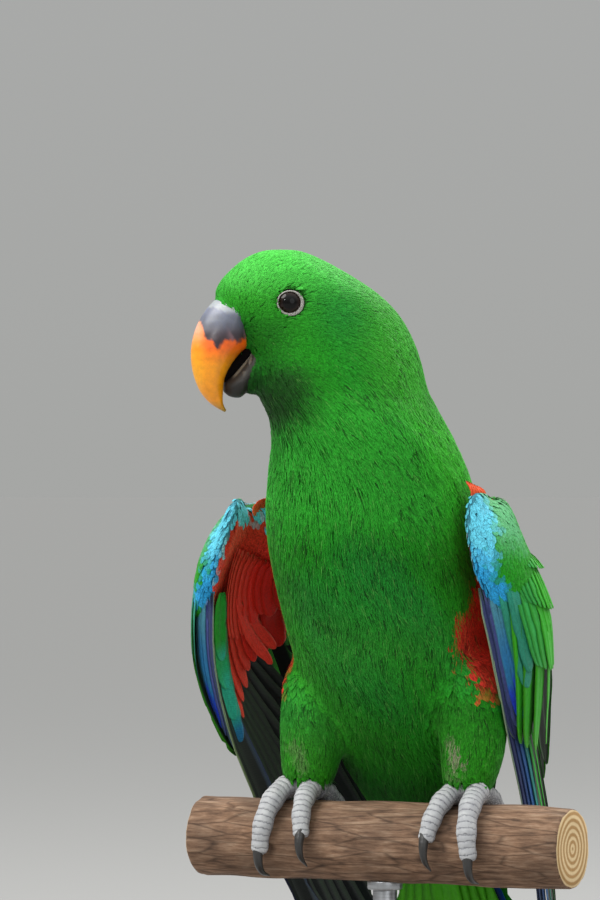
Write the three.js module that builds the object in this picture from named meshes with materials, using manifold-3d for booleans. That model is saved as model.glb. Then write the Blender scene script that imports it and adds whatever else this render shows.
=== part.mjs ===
// A male eclectus parrot on a cut branch: a still, life-size model on a plain display stand.
// Millimetres, +Z up. The bird faces -Y, so its left is +X, and its head is turned to its right.
// Sizes of the bird are given from the top of the perch, where it stands.
import * as THREE from "three";
import { LoftGeometry } from "three/addons/geometries/LoftGeometry.js";
import { mergeVertices } from "three/addons/utils/BufferGeometryUtils.js";
import Module from "manifold-3d";

const wasm = await Module();
wasm.setup();

// Driving dimensions
const GAP = 0.3; // clearance between neighbouring pieces
const BASE = { radius: 78, thick: 12, edge: 2.5 };
const ROD_RADIUS = 4.5;
const PERCH = { radius: 15.5, length: 152 };
const TAIL_CLEARANCE = 8;
const TAIL_DROP = 129; // tail tip below the top of the perch
const PERCH_TOP = BASE.thick + TAIL_CLEARANCE + TAIL_DROP;
const BODY_SIDES = 20;

// Torso and lower neck: the middle (x, y), the turn about +Z in degrees, the reach to the front
// and the back, and the half width, at each height.
const TORSO_ROWS = [
  { z: -29, x: 0, y: 52, turn: 0, front: 5, back: 5, half: 8 },
  { z: -22, x: 0, y: 48.5, turn: 0, front: 9.5, back: 9, half: 15 },
  { z: -9, x: 0, y: 41.5, turn: 0, front: 15, back: 15, half: 22 },
  { z: 8, x: 0, y: 32.5, turn: 0, front: 22, back: 22, half: 29 },
  { z: 28, x: 0, y: 21.5, turn: 0, front: 30, back: 31, half: 35 },
  { z: 50, x: 0, y: 11, turn: 0, front: 36, back: 37, half: 38.5 },
  { z: 72, x: 0, y: 1, turn: 0, front: 39, back: 40, half: 39.5 },
  { z: 94, x: 0, y: -8, turn: 0, front: 39, back: 41.5, half: 40 },
  { z: 112, x: 1, y: -15, turn: 0, front: 36, back: 41, half: 39 },
  { z: 128, x: 1.5, y: -21, turn: -15, front: 33, back: 37, half: 35.5 },
  { z: 140, x: -0.5, y: -25.5, turn: -35, front: 31.5, back: 35, half: 31 },
];

// The head's own frame: its middle, its turn to the bird's right, and, at each height in it, how far it
// reaches back and forward, where it is widest, and its half width.
const HEAD = { x: -15.3, y: -38, z: 178, turn: -50 };
const HEAD_ROWS = [
  { h: -27, back: -47.5, wide: -14, front: 17.2, half: 27 },
  { h: -17, back: -45, wide: -11, front: 18.5, half: 24.6 },
  { h: -8, back: -41.8, wide: -8, front: 22.5, half: 22.6 },
  { h: 1, back: -36.5, wide: -5, front: 28.5, half: 21 },
  { h: 9, back: -28, wide: -2, front: 32.6, half: 19.2 },
  { h: 16.5, back: -16, wide: 2, front: 27.2, half: 16 },
  { h: 22, back: -5.5, wide: 6, front: 20, half: 10.5 },
  { h: 24.4, back: 1.5, wide: 7.5, front: 13.5, half: 5.5 },
];
const HEAD_CUT = [
  { f: 14, h: -33 },
  { f: -46, h: -16 },
]; // throat and nape
const NECK_CUT = { y: -19, z: 119, lean: 20 };

// Eyes, by where their middle is in the head's frame
const EYE = { f: 8, h: 4.9, side: 14.4, radius: 5.6, lid: 0.95, ring: 4.9, look: 10 };

// The upper bill lies along an arc; at each turn of it, how far inside the arc its ridge lies, the
// depth inwards and the half width.
const CULMEN = { f: 14.2, h: -14, radius: 27 };
const UPPER_BILL_ROWS = [
  { angle: 58, inset: 0, depth: 15, half: 8.4 },
  { angle: 43, inset: 0, depth: 19, half: 9.6 },
  { angle: 26, inset: 0, depth: 20.5, half: 9.8 },
  { angle: 9, inset: 0, depth: 18.6, half: 9.2 },
  { angle: -6, inset: 0, depth: 16.4, half: 8.3 },
  { angle: -19, inset: 0, depth: 13.4, half: 7.1 },
  { angle: -30, inset: 0, depth: 9.2, half: 5.8 },
  { angle: -41, inset: 0.5, depth: 4.8, half: 4 },
  { angle: -49, inset: 1.2, depth: 2.7, half: 2.2 },
  { angle: -55, inset: 1.7, depth: 1, half: 0.7 },
];
// The lower bill, from its root to its edge: the heights of its rim and keel, and its half width.
const LOWER_BILL_ROWS = [
  { f: 11, rim: -13, keel: -26.5, half: 7.8 },
  { f: 17.5, rim: -10.5, keel: -28.4, half: 8.6 },
  { f: 20.8, rim: -15.4, keel: -29.1, half: 8.3 },
  { f: 24, rim: -19.6, keel: -29.5, half: 7.3 },
  { f: 26.8, rim: -22.7, keel: -29, half: 5.6 },
  { f: 28.7, rim: -24.1, keel: -27.6, half: 3.4 },
];

const LEG_SHIFT = 2; // the bird leans a little to its left
const LEG_ROWS = [
  { x: 25, y: 8, z: 62, r: 9 },
  { x: 29, y: 5, z: 50, r: 13 },
  { x: 32, y: 3, z: 34, r: 13.5 },
  { x: 33, y: 2, z: 18, r: 12 },
  { x: 33, y: 1.5, z: 8, r: 10 },
  { x: 33, y: 1.5, z: 5, r: 8.5 },
];
const FOOT = { x: 33, y: 1, r: 6.2, low: 1.2, top: 12 };
// Toes wrap the perch: way is 1 to the front and -1 to the back, out is away from the bird's middle.
const TOES = [
  { name: "front_outer", way: 1, out: 6.4, splay: 3.5, end: 104, r: 4.3 },
  { name: "front_inner", way: 1, out: -3.6, splay: -4, end: 84, r: 4.1 },
  { name: "back_outer", way: -1, out: 4.6, splay: 2, end: 82, r: 4.2 },
  { name: "back_inner", way: -1, out: -3.6, splay: -3.5, end: 66, r: 4 },
];
const TOE_START = 8; // degrees from the top of the perch
const CLAW = { length: 12, r: 2.1, hook: 62 };

// The wing is laid out on a curved sheet: p runs down from the wrist along its leading edge,
// q back from that edge, and w outwards. lead is the edge; turn is the sheet's heading in degrees
// outwards from straight back, at the edge and behind its curl.
const WING_LEAD = [
  [43, -22, 111],
  [49.5, -22.5, 85],
  [52, -13, 57],
  [49.5, 3, 29],
  [46.5, 20, 4],
  [45, 33, -23],
  [43, 44, -50],
  [41.5, 55, -77],
  [38.5, 66, -104],
];
const WING_LENGTH = 245;
const WING_TURNS = [
  { p: 0, lead: 30, back: -65, curl: 32 },
  { p: 60, lead: 23, back: -38, curl: 36 },
  { p: 130, lead: 4, back: -44, curl: 44 },
  { p: 245, lead: -8, back: -28, curl: 44 },
];
// The right wing is held further out than the left, and a little lower.
const WING_HELD = { left: { wrist: 0, bow: 0, drop: 0 }, right: { wrist: 7.5, bow: 14.5, drop: 4.5 } };
const ARM_PAD = { p: 34, q: 34, w: 4, long: 35, wide: 35, thick: 8.5 };
const HAND_PAD = { p: 38, q: 8, w: 1, long: 39, wide: 10, thick: 4.5 };

// One feather's vane: its half width along it as a share of its widest.
const VANE = [
  { along: 0, width: 0.8 },
  { along: 0.5, width: 1 },
  { along: 0.86, width: 0.8 },
  { along: 1, width: 0.2 },
];
const VANE_THICK = 0.6;
const VANE_CAMBER = 0.2;
const VANE_ROLL = 0.2; // rise of the front edge for each millimetre across
const VANE_STEP = 0.86; // from one vane to the one that lies on it

// The tiers of a wing's feathers. Each has a few rows, from its front feather back, which more
// feathers fill evenly: the root (p, q), the tip (toP, toQ) and the half width. lift is the height
// of its front feather at root and tip.
const WING_TIERS = {
  primaries: {
    steps: 3,
    columns: 1,
    lift: [-2, -0.5],
    rows: [
      { p: 66, q: 6, toP: 226, toQ: 6, half: 7 },
      { p: 64, q: 9, toP: 241, toQ: 19, half: 7 },
      { p: 58, q: 13, toP: 198, toQ: 35, half: 6.5 },
      { p: 52, q: 18, toP: 154, toQ: 50, half: 6 },
    ],
  },
  secondaries: {
    steps: 3,
    columns: 1,
    lift: [4.6, 3.8],
    rows: [
      { p: 52, q: 16, toP: 128, toQ: 24, half: 6 },
      { p: 54, q: 28, toP: 137, toQ: 36, half: 6 },
      { p: 56, q: 39, toP: 145, toQ: 48, half: 6 },
      { p: 56, q: 49, toP: 149, toQ: 59, half: 6 },
      { p: 54, q: 59, toP: 138, toQ: 68, half: 6 },
    ],
  },
  greaterCoverts: {
    steps: 3,
    columns: 1,
    lift: [8.6, 7.4],
    rows: [
      { p: 40, q: 13, toP: 82, toQ: 16, half: 6.8 },
      { p: 46, q: 36, toP: 93, toQ: 40, half: 6.8 },
      { p: 46, q: 58, toP: 97, toQ: 64, half: 6.8 },
    ],
  },
  medianCoverts: {
    steps: 3,
    columns: 1,
    lift: [10.4, 9.4],
    rows: [
      { p: 24, q: 12, toP: 55, toQ: 13, half: 6.8 },
      { p: 30, q: 35, toP: 65, toQ: 38, half: 6.8 },
      { p: 34, q: 56, toP: 70, toQ: 62, half: 6.8 },
    ],
  },
  primaryCoverts: {
    steps: 3,
    columns: 1,
    lift: [4.6, 4],
    rows: [
      { p: 62, q: 3, toP: 112, toQ: 2, half: 4 },
      { p: 44, q: 11, toP: 86, toQ: 15, half: 5 },
    ],
  },
  alula: {
    steps: 1,
    columns: 1,
    lift: [6.6, 7.4],
    rows: [
      { p: 30, q: 1, toP: 66, toQ: -1, half: 4 },
      { p: 22, q: 6, toP: 50, toQ: 6, half: 4 },
    ],
  },
  underCoverts: {
    steps: 2,
    columns: 1,
    below: true,
    lift: [-3, -4],
    rows: [
      { p: 30, q: 8, toP: 66, toQ: 9, half: 8 },
      { p: 40, q: 28, toP: 82, toQ: 32, half: 8 },
      { p: 44, q: 48, toP: 90, toQ: 56, half: 8 },
    ],
  },
};

// The tail is laid out on a plane: p runs down it from its root, q to the bird's left, w to its back.
const TAIL = { y: 49, z: -16, slope: 22, length: 118 };
const TAIL_ROOT = { p: 10, w: -1, long: 18, wide: 15, thick: 8 };
const TAIL_FANS = [
  { pairs: 6, start: 16, length: 118, outer: 106, half: 7, spread: 1.95, root: 1.8, lift: [1.5, 0] },
  { pairs: 2, start: 12, length: 46, outer: 42, half: 6.5, spread: 6, root: 5, lift: [4, 4.5] },
  { pairs: 2, start: 12, length: 58, outer: 52, half: 7, spread: 5.5, root: 5.4, lift: [-5, -6], below: true },
];

const rad = THREE.MathUtils.degToRad;
const UP = new THREE.Vector3(0, 0, 1);
const v3 = (x, y, z) => new THREE.Vector3(x, y, z);
const mix = THREE.MathUtils.lerp;

// Solids

// The solid inside a closed geometry, whichever way its faces were wound.
function solid(geometry) {
  const bare = new THREE.BufferGeometry()
    .setAttribute("position", geometry.getAttribute("position"))
    .setIndex(geometry.getIndex());
  const merged = mergeVertices(bare, 1e-4);
  const points = merged.getAttribute("position").array;
  const corners = [v3(), v3(), v3()];
  const index = [];
  let volume = 0;
  for (let i = 0; i < merged.index.count; i += 3) {
    const face = [0, 1, 2].map((k) => merged.index.getX(i + k));
    if (new Set(face).size < 3) continue;
    index.push(...face);
    face.forEach((v, k) => corners[k].fromArray(points, 3 * v));
    volume += corners[0].dot(corners[1].cross(corners[2]));
  }
  if (volume < 0) index.reverse();
  return new wasm.Manifold(
    new wasm.Mesh({ numProp: 3, vertProperties: points, triVerts: Uint32Array.from(index) }),
  );
}

// A closed body through rings of points, each end brought in to the middle of its ring.
function loft(rings) {
  const middle = (ring) => ring.reduce((sum, point) => sum.add(point), v3()).divideScalar(ring.length);
  const end = (ring) => ring.map(() => middle(ring));
  return solid(new LoftGeometry([end(rings[0]), ...rings, end(rings.at(-1))]));
}

// A closed thin body between two faces that are split into like triangles. point takes the row,
// how far across (-1 to 1) and the face (1 or -1).
function slab(rows, columns, point) {
  const grid = (rows + 1) * (columns + 1);
  const vertices = [];
  for (const face of [1, -1])
    for (let i = 0; i <= rows; i++)
      for (let j = 0; j <= columns; j++)
        vertices.push(...point(i, (2 * j) / columns - 1, face).toArray());
  const at = (i, j) => i * (columns + 1) + j;
  const index = [];
  const wall = (a, b) => index.push(b, a, grid + a, b, grid + a, grid + b);
  for (let i = 0; i < rows; i++)
    for (let j = 0; j < columns; j++) {
      const [a, b, c, d] = [at(i, j), at(i, j + 1), at(i + 1, j + 1), at(i + 1, j)];
      index.push(a, b, c, a, c, d);
      index.push(grid + a, grid + c, grid + b, grid + a, grid + d, grid + c);
    }
  for (let j = 0; j < columns; j++) {
    wall(at(0, j), at(0, j + 1));
    wall(at(rows, j + 1), at(rows, j));
  }
  for (let i = 0; i < rows; i++) {
    wall(at(i + 1, 0), at(i, 0));
    wall(at(i, columns), at(i + 1, columns));
  }
  const geometry = new THREE.BufferGeometry()
    .setAttribute("position", new THREE.Float32BufferAttribute(vertices, 3))
    .setIndex(index);
  return solid(geometry);
}

const join = (...solids) => wasm.Manifold.union(solids);

// The largest closed surface of a solid, which also fills what its union sealed in.
const largest = (whole) =>
  whole.decompose().reduce((best, piece) => (piece.volume() > best.volume() ? piece : best));

// Rows of named numbers, filled in by a smooth curve through them.
function fill(rows, steps) {
  const spline = (a, b, c, d, t) =>
    0.5 * (2 * b + (c - a) * t + (2 * a - 5 * b + 4 * c - d) * t * t + (3 * b - a - 3 * c + d) * t ** 3);
  const last = rows.length - 1;
  const at = (i) => rows[THREE.MathUtils.clamp(i, 0, last)];
  const filled = [];
  for (let s = 0; s <= last * steps; s++) {
    const i = Math.min(Math.floor(s / steps), last - 1);
    const t = s / steps - i;
    const value = (key) => spline(at(i - 1)[key], at(i)[key], at(i + 1)[key], at(i + 2)[key], t);
    filled.push(Object.fromEntries(Object.keys(rows[0]).map((key) => [key, value(key)])));
  }
  return filled;
}

// A ring of sides points round a middle, reaching front, back and half.
function ring({ x, y, z, turn = 0, front, back, half }, sides, grow = 0) {
  return Array.from({ length: sides }, (_, i) => {
    const a = (2 * Math.PI * i) / sides;
    const reach = (Math.cos(a) > 0 ? front : back) + grow;
    return v3((half + grow) * Math.sin(a), -reach * Math.cos(a), 0)
      .applyAxisAngle(UP, rad(turn))
      .add(v3(x, y, z));
  });
}

// A round tapered body along a path, by its radius at each share of the way.
function taper(path, radius, sides, steps) {
  const frames = path.computeFrenetFrames(steps, false);
  return loft(
    Array.from({ length: steps + 1 }, (_, i) => {
      const middle = path.getPointAt(i / steps);
      return Array.from({ length: sides }, (_, j) => {
        const a = (2 * Math.PI * j) / sides;
        return middle
          .clone()
          .addScaledVector(frames.normals[i], radius(i / steps) * Math.cos(a))
          .addScaledVector(frames.binormals[i], radius(i / steps) * Math.sin(a));
      });
    }),
  );
}

// Head frame: side is to the bird's left, f forward and h up.
const headFrame = new THREE.Matrix4()
  .makeRotationZ(rad(HEAD.turn))
  .setPosition(HEAD.x, HEAD.y, HEAD.z);
const inHead = (side, f, h) => v3(side, -f, h).applyMatrix4(headFrame);

// Torso, neck and head in one piece, larger all round by grow.
function bodyWhole(grow = 0) {
  const headRows = HEAD_ROWS.map(({ h, back, wide, front, half }) => {
    const { x, y, z } = inHead(0, wide, h);
    return { z, x, y, turn: HEAD.turn, front: front - wide, back: wide - back, half };
  });
  const rows = fill([...TORSO_ROWS, ...headRows], 2);
  return loft(rows.map((row) => ring(row, BODY_SIDES, grow)));
}

// The two sides of a cut through a solid, with the gap between them: the side that the normal
// points to first.
function part(whole, point, normal) {
  const n = normal.clone().normalize();
  const at = n.dot(point);
  return [
    whole.trimByPlane(n.toArray(), at + GAP / 2),
    whole.trimByPlane(n.clone().negate().toArray(), -(at - GAP / 2)),
  ];
}

// Eyes

const eyePlace = (side) => inHead(side * EYE.side, EYE.f, EYE.h);
const ball = (centre, radius) =>
  solid(new THREE.SphereGeometry(radius, 12, 8).translate(centre.x, centre.y, centre.z));

// A lid is a ring about the way the eye looks, which is out to its side and a little forward.
function lid(side) {
  const look = inHead(side, Math.sin(rad(EYE.look)), 0).sub(inHead(0, 0, 0)).normalize();
  const rise = Math.sqrt(EYE.radius ** 2 - EYE.ring ** 2) + 0.2;
  const centre = eyePlace(side).addScaledVector(look, rise);
  const torus = new THREE.TorusGeometry(EYE.ring, EYE.lid, 6, 16)
    .applyQuaternion(new THREE.Quaternion().setFromUnitVectors(UP, look))
    .translate(centre.x, centre.y, centre.z);
  return solid(torus);
}

// Bill

// A section of the bill: flat-sided towards the mouth and rounded towards the ridge.
function billRing(place, depth, half, sides) {
  return Array.from({ length: sides }, (_, i) => {
    const a = (2 * Math.PI * i) / sides;
    const across = half * Math.sin(a) * (1 - 0.22 * Math.max(0, Math.cos(a)));
    return place(across, (depth / 2) * (1 - Math.cos(a)));
  });
}

function upperBill() {
  const rings = fill(UPPER_BILL_ROWS, 2).map(({ angle, inset, depth, half }) => {
    const a = rad(angle);
    const place = (across, inwards) => {
      const reach = CULMEN.radius - inset - inwards;
      return inHead(across, CULMEN.f + reach * Math.cos(a), CULMEN.h + reach * Math.sin(a));
    };
    return billRing(place, depth, half, 12);
  });
  return loft(rings);
}

function lowerBill() {
  const rings = fill(LOWER_BILL_ROWS, 2).map(({ f, rim, keel, half }) =>
    billRing((across, up) => inHead(across, f, keel + up), rim - keel, half, 12),
  );
  return loft(rings);
}

// Legs and feet

const legRing = ({ x, y, z, r }, side, grow = 0) =>
  ring({ x: side * x + LEG_SHIFT * Math.min(1, z / 20), y, z, front: r, back: r, half: r }, 14, grow);

const thigh = (side, grow = 0) =>
  loft(fill(LEG_ROWS, 2).map((row) => legRing(row, side, grow)));

// The short bare shank, down to where the toes meet.
function shank(side, grow = 0) {
  const rows = [
    { z: FOOT.low - grow, r: FOOT.r - 1.5 },
    { z: FOOT.low + 2, r: FOOT.r },
    { z: FOOT.top + grow, r: FOOT.r - 2 },
  ];
  return loft(rows.map(({ z, r }) => legRing({ x: FOOT.x, y: FOOT.y, z, r }, side, grow)));
}

// A place beside the perch: out from its skin, at an angle from its top towards the front.
const onPerch = (x, angle, out) => {
  const reach = PERCH.radius + out;
  return v3(x, -reach * Math.sin(rad(angle)), reach * Math.cos(rad(angle)) - PERCH.radius);
};

const toeRadius = (r, t) => r * (1 - 0.26 * t) * (1 + 0.06 * Math.cos(6 * Math.PI * t));

function toePath(toe, side) {
  const count = 9;
  const points = Array.from({ length: count }, (_, i) => {
    const t = i / (count - 1);
    const x = side * (FOOT.x + toe.out + toe.splay * t);
    return onPerch(x, toe.way * mix(TOE_START, toe.end, t), GAP + 1.06 * toe.r * (1 - 0.26 * t));
  });
  return new THREE.CatmullRomCurve3(points);
}

const toe = (shape, side, grow = 0) =>
  taper(toePath(shape, side), (t) => toeRadius(shape.r, t) + grow, 6, 6);

// A claw leaves the toe's end in its direction and hooks down to the perch.
function claw(shape, side) {
  const count = 6;
  const x = side * (FOOT.x + shape.out + shape.splay);
  const degrees = (CLAW.length / (PERCH.radius + CLAW.r)) * THREE.MathUtils.RAD2DEG;
  const points = Array.from({ length: count }, (_, i) => {
    const t = i / (count - 1);
    const rise = shape.r * 0.9 + 2.2 * Math.sin(Math.PI * Math.min(1, t + 0.08)) - 2.4 * t;
    return onPerch(x, shape.way * (shape.end - 4 + (degrees + 4) * t), GAP + Math.max(rise, 0.75));
  });
  return taper(new THREE.CatmullRomCurve3(points), (t) => mix(CLAW.r, 0.4, t), 6, 4);
}

// Wings

// How the wing's sheet heads at p, by straight steps between the rows.
function wingTurn(p) {
  const rows = WING_TURNS;
  const i = Math.min(rows.findLastIndex((row) => row.p <= Math.max(p, 0)), rows.length - 2);
  const t = THREE.MathUtils.clamp((p - rows[i].p) / (rows[i + 1].p - rows[i].p), 0, 1);
  return {
    lead: rad(mix(rows[i].lead, rows[i + 1].lead, t)),
    back: rad(mix(rows[i].back, rows[i + 1].back, t)),
    curl: mix(rows[i].curl, rows[i + 1].curl, t),
  };
}

// A place on or off one wing's sheet.
function wingSheet(side) {
  const { wrist, bow, drop } = side > 0 ? WING_HELD.left : WING_HELD.right;
  const edge = new THREE.CatmullRomCurve3(WING_LEAD.map((point) => v3(...point)));
  return (p, q, w) => {
    const share = THREE.MathUtils.clamp(p / WING_LENGTH, 0, 1);
    const along = edge.getTangentAt(share);
    const out = v3(1, 0, 0).addScaledVector(along, -along.x).normalize();
    const behind = out.clone().cross(along).normalize();
    const held = wrist * (1 - share) + bow * Math.sin(Math.PI * share) ** 1.5;
    const { lead, back, curl } = wingTurn(p);
    const bend = (back - lead) / curl;
    const turned = lead + bend * THREE.MathUtils.clamp(q, 0, curl);
    const straight = q < 0 ? q : Math.max(0, q - curl);
    const x = (Math.cos(lead) - Math.cos(turned)) / bend + straight * Math.sin(turned);
    const y = (Math.sin(turned) - Math.sin(lead)) / bend + straight * Math.cos(turned);
    const point = edge
      .getPointAt(share)
      .addScaledVector(along, p - share * WING_LENGTH)
      .addScaledVector(out, x + w * Math.cos(turned) + held)
      .addScaledVector(behind, y - w * Math.sin(turned));
    return v3(side * point.x, point.y, point.z - drop);
  };
}

// A flat round pad on the sheet: the flesh that the feathers grow from.
function pad(shape, place) {
  const geometry = new THREE.SphereGeometry(1, 14, 8);
  const points = geometry.getAttribute("position");
  const square = (c) => Math.sign(c) * Math.abs(c) ** 0.8;
  for (let i = 0; i < points.count; i++) {
    const [a, b, c] = [points.getX(i), points.getY(i), points.getZ(i)].map(square);
    const spot = place(shape.p + shape.long * a, shape.q + shape.wide * b, shape.w + shape.thick * c);
    points.setXYZ(i, ...spot.toArray());
  }
  return solid(geometry);
}

// Feathers

// One vane on a sheet, from (p, q) to (toP, toQ). lift gives the height of its middle and tilt how
// much that rises for each millimetre towards its back edge.
function vane(place, { p, q, toP, toQ, half }, columns, lift, tilt) {
  const length = Math.hypot(toP - p, toQ - q);
  const [alongP, alongQ] = [(toP - p) / length, (toQ - q) / length];
  return slab(VANE.length - 1, columns, (i, c, face) => {
    const { along, width } = VANE[i];
    const across = c * half * width;
    const height = lift(along) + tilt * across + VANE_CAMBER * (1 - c * c) + (face * VANE_THICK) / 2;
    return place(
      mix(p, toP, along) - alongQ * across,
      mix(q, toQ, along) + alongP * across,
      height,
    );
  });
}

// A tier of a wing: each feather lies on the one in front of it, or under it on the wing's inner face.
function wingTier(place, { steps, columns, lift, rows, below }) {
  const way = below ? -1 : 1;
  const feathers = fill(rows, steps);
  return feathers.map((feather, i) => {
    const near = feathers[i + 1] ?? feathers[i - 1];
    const rise = (t) => {
      const pitch = Math.abs(mix(near.q - feather.q, near.toQ - feather.toQ, t));
      return mix(lift[0], lift[1], t) + way * i * Math.max(0, VANE_STEP - VANE_ROLL * pitch);
    };
    return vane(place, feather, columns, rise, -way * VANE_ROLL);
  });
}

function wing(side) {
  const place = wingSheet(side);
  const tiers = Object.values(WING_TIERS).flatMap((shape) => wingTier(place, shape));
  return join(pad(ARM_PAD, place), pad(HAND_PAD, place), ...tiers);
}

// Tail

// A place in the tail: p along it, q to the bird's left and w to its back.
function inTail(p, q, w) {
  const a = rad(TAIL.slope);
  return v3(q, TAIL.y + p * Math.sin(a) + w * Math.cos(a), TAIL.z - p * Math.cos(a) + w * Math.sin(a));
}

// A fan of feathers in pairs, the middle pair on top and each next one lower, or the other way round
// on the tail's underside.
function fan({ pairs, start, length, outer, half, spread, root, lift, below }) {
  const way = below ? -1 : 1;
  return Array.from({ length: 2 * pairs }, (_, rank) => {
    const hand = rank % 2 ? -1 : 1;
    const place = Math.floor(rank / 2) + 0.5;
    const reach = mix(length, outer, ((place - 0.5) / (pairs - 0.5)) ** 2);
    const turn = rad(place * spread);
    const q = (t) => hand * (place * root + t * reach * Math.sin(turn));
    const shape = { p: start, q: q(start / reach), toP: reach * Math.cos(turn), toQ: q(1), half };
    const step = (t) => Math.max(0, VANE_STEP - VANE_ROLL * (root + t * reach * rad(spread)));
    const under = (t) => (place - 0.5) * step(t) + (hand < 0 ? mix(0.5, 0.9, t) : 0);
    const rise = (t) => mix(lift[0], lift[1], t) - way * under(t);
    return vane(inTail, shape, 1, rise, way * hand * VANE_ROLL);
  });
}

function tail() {
  const { p, w, long, wide, thick } = TAIL_ROOT;
  const middle = inTail(p, 0, w);
  const root = new THREE.SphereGeometry(1, 14, 8)
    .scale(wide, thick, long)
    .rotateX(rad(TAIL.slope))
    .translate(middle.x, middle.y, middle.z);
  return join(...TAIL_FANS.flatMap(fan), solid(root));
}

// Perch and stand

function perch(grow = 0) {
  const steps = 6;
  const sides = 18;
  const rings = Array.from({ length: steps + 1 }, (_, i) => {
    const x = PERCH.length * (i / steps - 0.5);
    return Array.from({ length: sides }, (_, j) => {
      const a = (2 * Math.PI * j) / sides;
      return onPerch(x, THREE.MathUtils.radToDeg(a), grow);
    });
  });
  return loft(rings);
}

function base() {
  const { radius, thick, edge } = BASE;
  const profile = [
    [0, 0],
    [radius - 1, 0],
    [radius, 1],
    [radius, thick - edge],
    [radius - edge, thick],
    [0, thick],
  ];
  const lathe = new THREE.LatheGeometry(profile.map(([r, h]) => new THREE.Vector2(r, h)), 40);
  return solid(lathe.rotateX(Math.PI / 2));
}

function rod() {
  const low = BASE.thick + GAP;
  const high = PERCH_TOP - PERCH.radius;
  const shaft = new THREE.CylinderGeometry(ROD_RADIUS, ROD_RADIUS, high - low, 20)
    .rotateX(Math.PI / 2)
    .translate(0, 0, (low + high) / 2);
  return solid(shaft).subtract(perch(GAP).translate([0, 0, PERCH_TOP]));
}

// Materials

const finish = (color, roughness, metalness = 0) =>
  new THREE.MeshStandardMaterial({ color, roughness, metalness, flatShading: true });
const GREEN = finish(0x2f9e2a, 0.75);
const WING = finish(0x2c9a33, 0.6);
const UPPER_HORN = finish(0xf59a1e, 0.35);
const LOWER_HORN = finish(0x2b2a2e, 0.4);
const EYE_DARK = finish(0x120b08, 0.1);
const FOOT_SKIN = finish(0x8f9296, 0.7);
const CLAW_HORN = finish(0x2a2a2d, 0.4);
const BARK = finish(0x8d6f57, 0.9);
const WOOD = finish(0x5a4232, 0.5);
const STEEL = finish(0x9a9da1, 0.35, 1);

// The assembly

const object = new THREE.Group();
const bird = new THREE.Group();
bird.position.z = PERCH_TOP;
object.add(bird);

function add(group, name, whole, material) {
  const { vertProperties, triVerts, numProp } = largest(whole).getMesh();
  const geometry = new THREE.BufferGeometry()
    .setAttribute("position", new THREE.BufferAttribute(vertProperties, numProp))
    .setIndex(new THREE.BufferAttribute(triVerts, 1));
  const mesh = new THREE.Mesh(geometry, material);
  mesh.name = name;
  group.add(mesh);
}

const SIDES = { left: 1, right: -1 };
const wholeBody = bodyWhole();
const bodyRoom = bodyWhole(GAP);
const [throat, nape] = HEAD_CUT.map(({ f, h }) => inHead(0, f, h));
const headNormal = nape.clone().sub(throat).cross(inHead(1, 0, 0).sub(inHead(0, 0, 0)));
const [headSolid, belowHead] = part(wholeBody, throat, headNormal.multiplyScalar(Math.sign(headNormal.z)));
const neckLean = rad(NECK_CUT.lean);
const [neckSolid, torsoSolid] = part(
  belowHead,
  v3(0, NECK_CUT.y, NECK_CUT.z),
  v3(0, -Math.sin(neckLean), Math.cos(neckLean)),
);

const upper = upperBill();
const lower = lowerBill();
let head = headSolid;
for (const side of Object.values(SIDES))
  head = head.add(lid(side)).subtract(ball(eyePlace(side), EYE.radius + GAP));
add(bird, "head", head, GREEN);
add(bird, "neck", neckSolid, GREEN);
add(bird, "torso", torsoSolid, GREEN);
add(bird, "bill_upper", upper.subtract(bodyRoom), UPPER_HORN);
add(bird, "bill_lower", lower.subtract(bodyRoom), LOWER_HORN);
add(bird, "tail", tail().subtract(bodyRoom), WING);

for (const [word, side] of Object.entries(SIDES)) {
  add(bird, `eye_${word}`, ball(eyePlace(side), EYE.radius), EYE_DARK);
  add(bird, `wing_${word}`, wing(side).subtract(bodyRoom), WING);
  add(bird, `leg_${word}`, thigh(side).subtract(bodyRoom).subtract(shank(side, GAP)), GREEN);
  const toes = TOES.map((shape) => toe(shape, side));
  add(bird, `foot_${word}`, join(shank(side), ...toes).subtract(thigh(side, GAP).subtract(shank(side))), FOOT_SKIN);
  for (const shape of TOES) {
    const tip = claw(shape, side).subtract(toe(shape, side, GAP));
    add(bird, `claw_${word}_${shape.name}`, tip, CLAW_HORN);
  }
}

add(bird, "perch", perch(), BARK);
add(object, "stand_rod", rod(), STEEL);
add(object, "stand_base", base(), WOOD);

export default object;
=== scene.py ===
# A life-size male eclectus parrot on a cut branch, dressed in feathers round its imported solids.
# The bird's own sizes are in millimetres from the top of its perch; it faces -Y, its left is +X.
import math

import bpy
import numpy as np
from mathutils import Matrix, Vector
from mathutils.bvhtree import BVHTree
from mathutils.kdtree import KDTree


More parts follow.
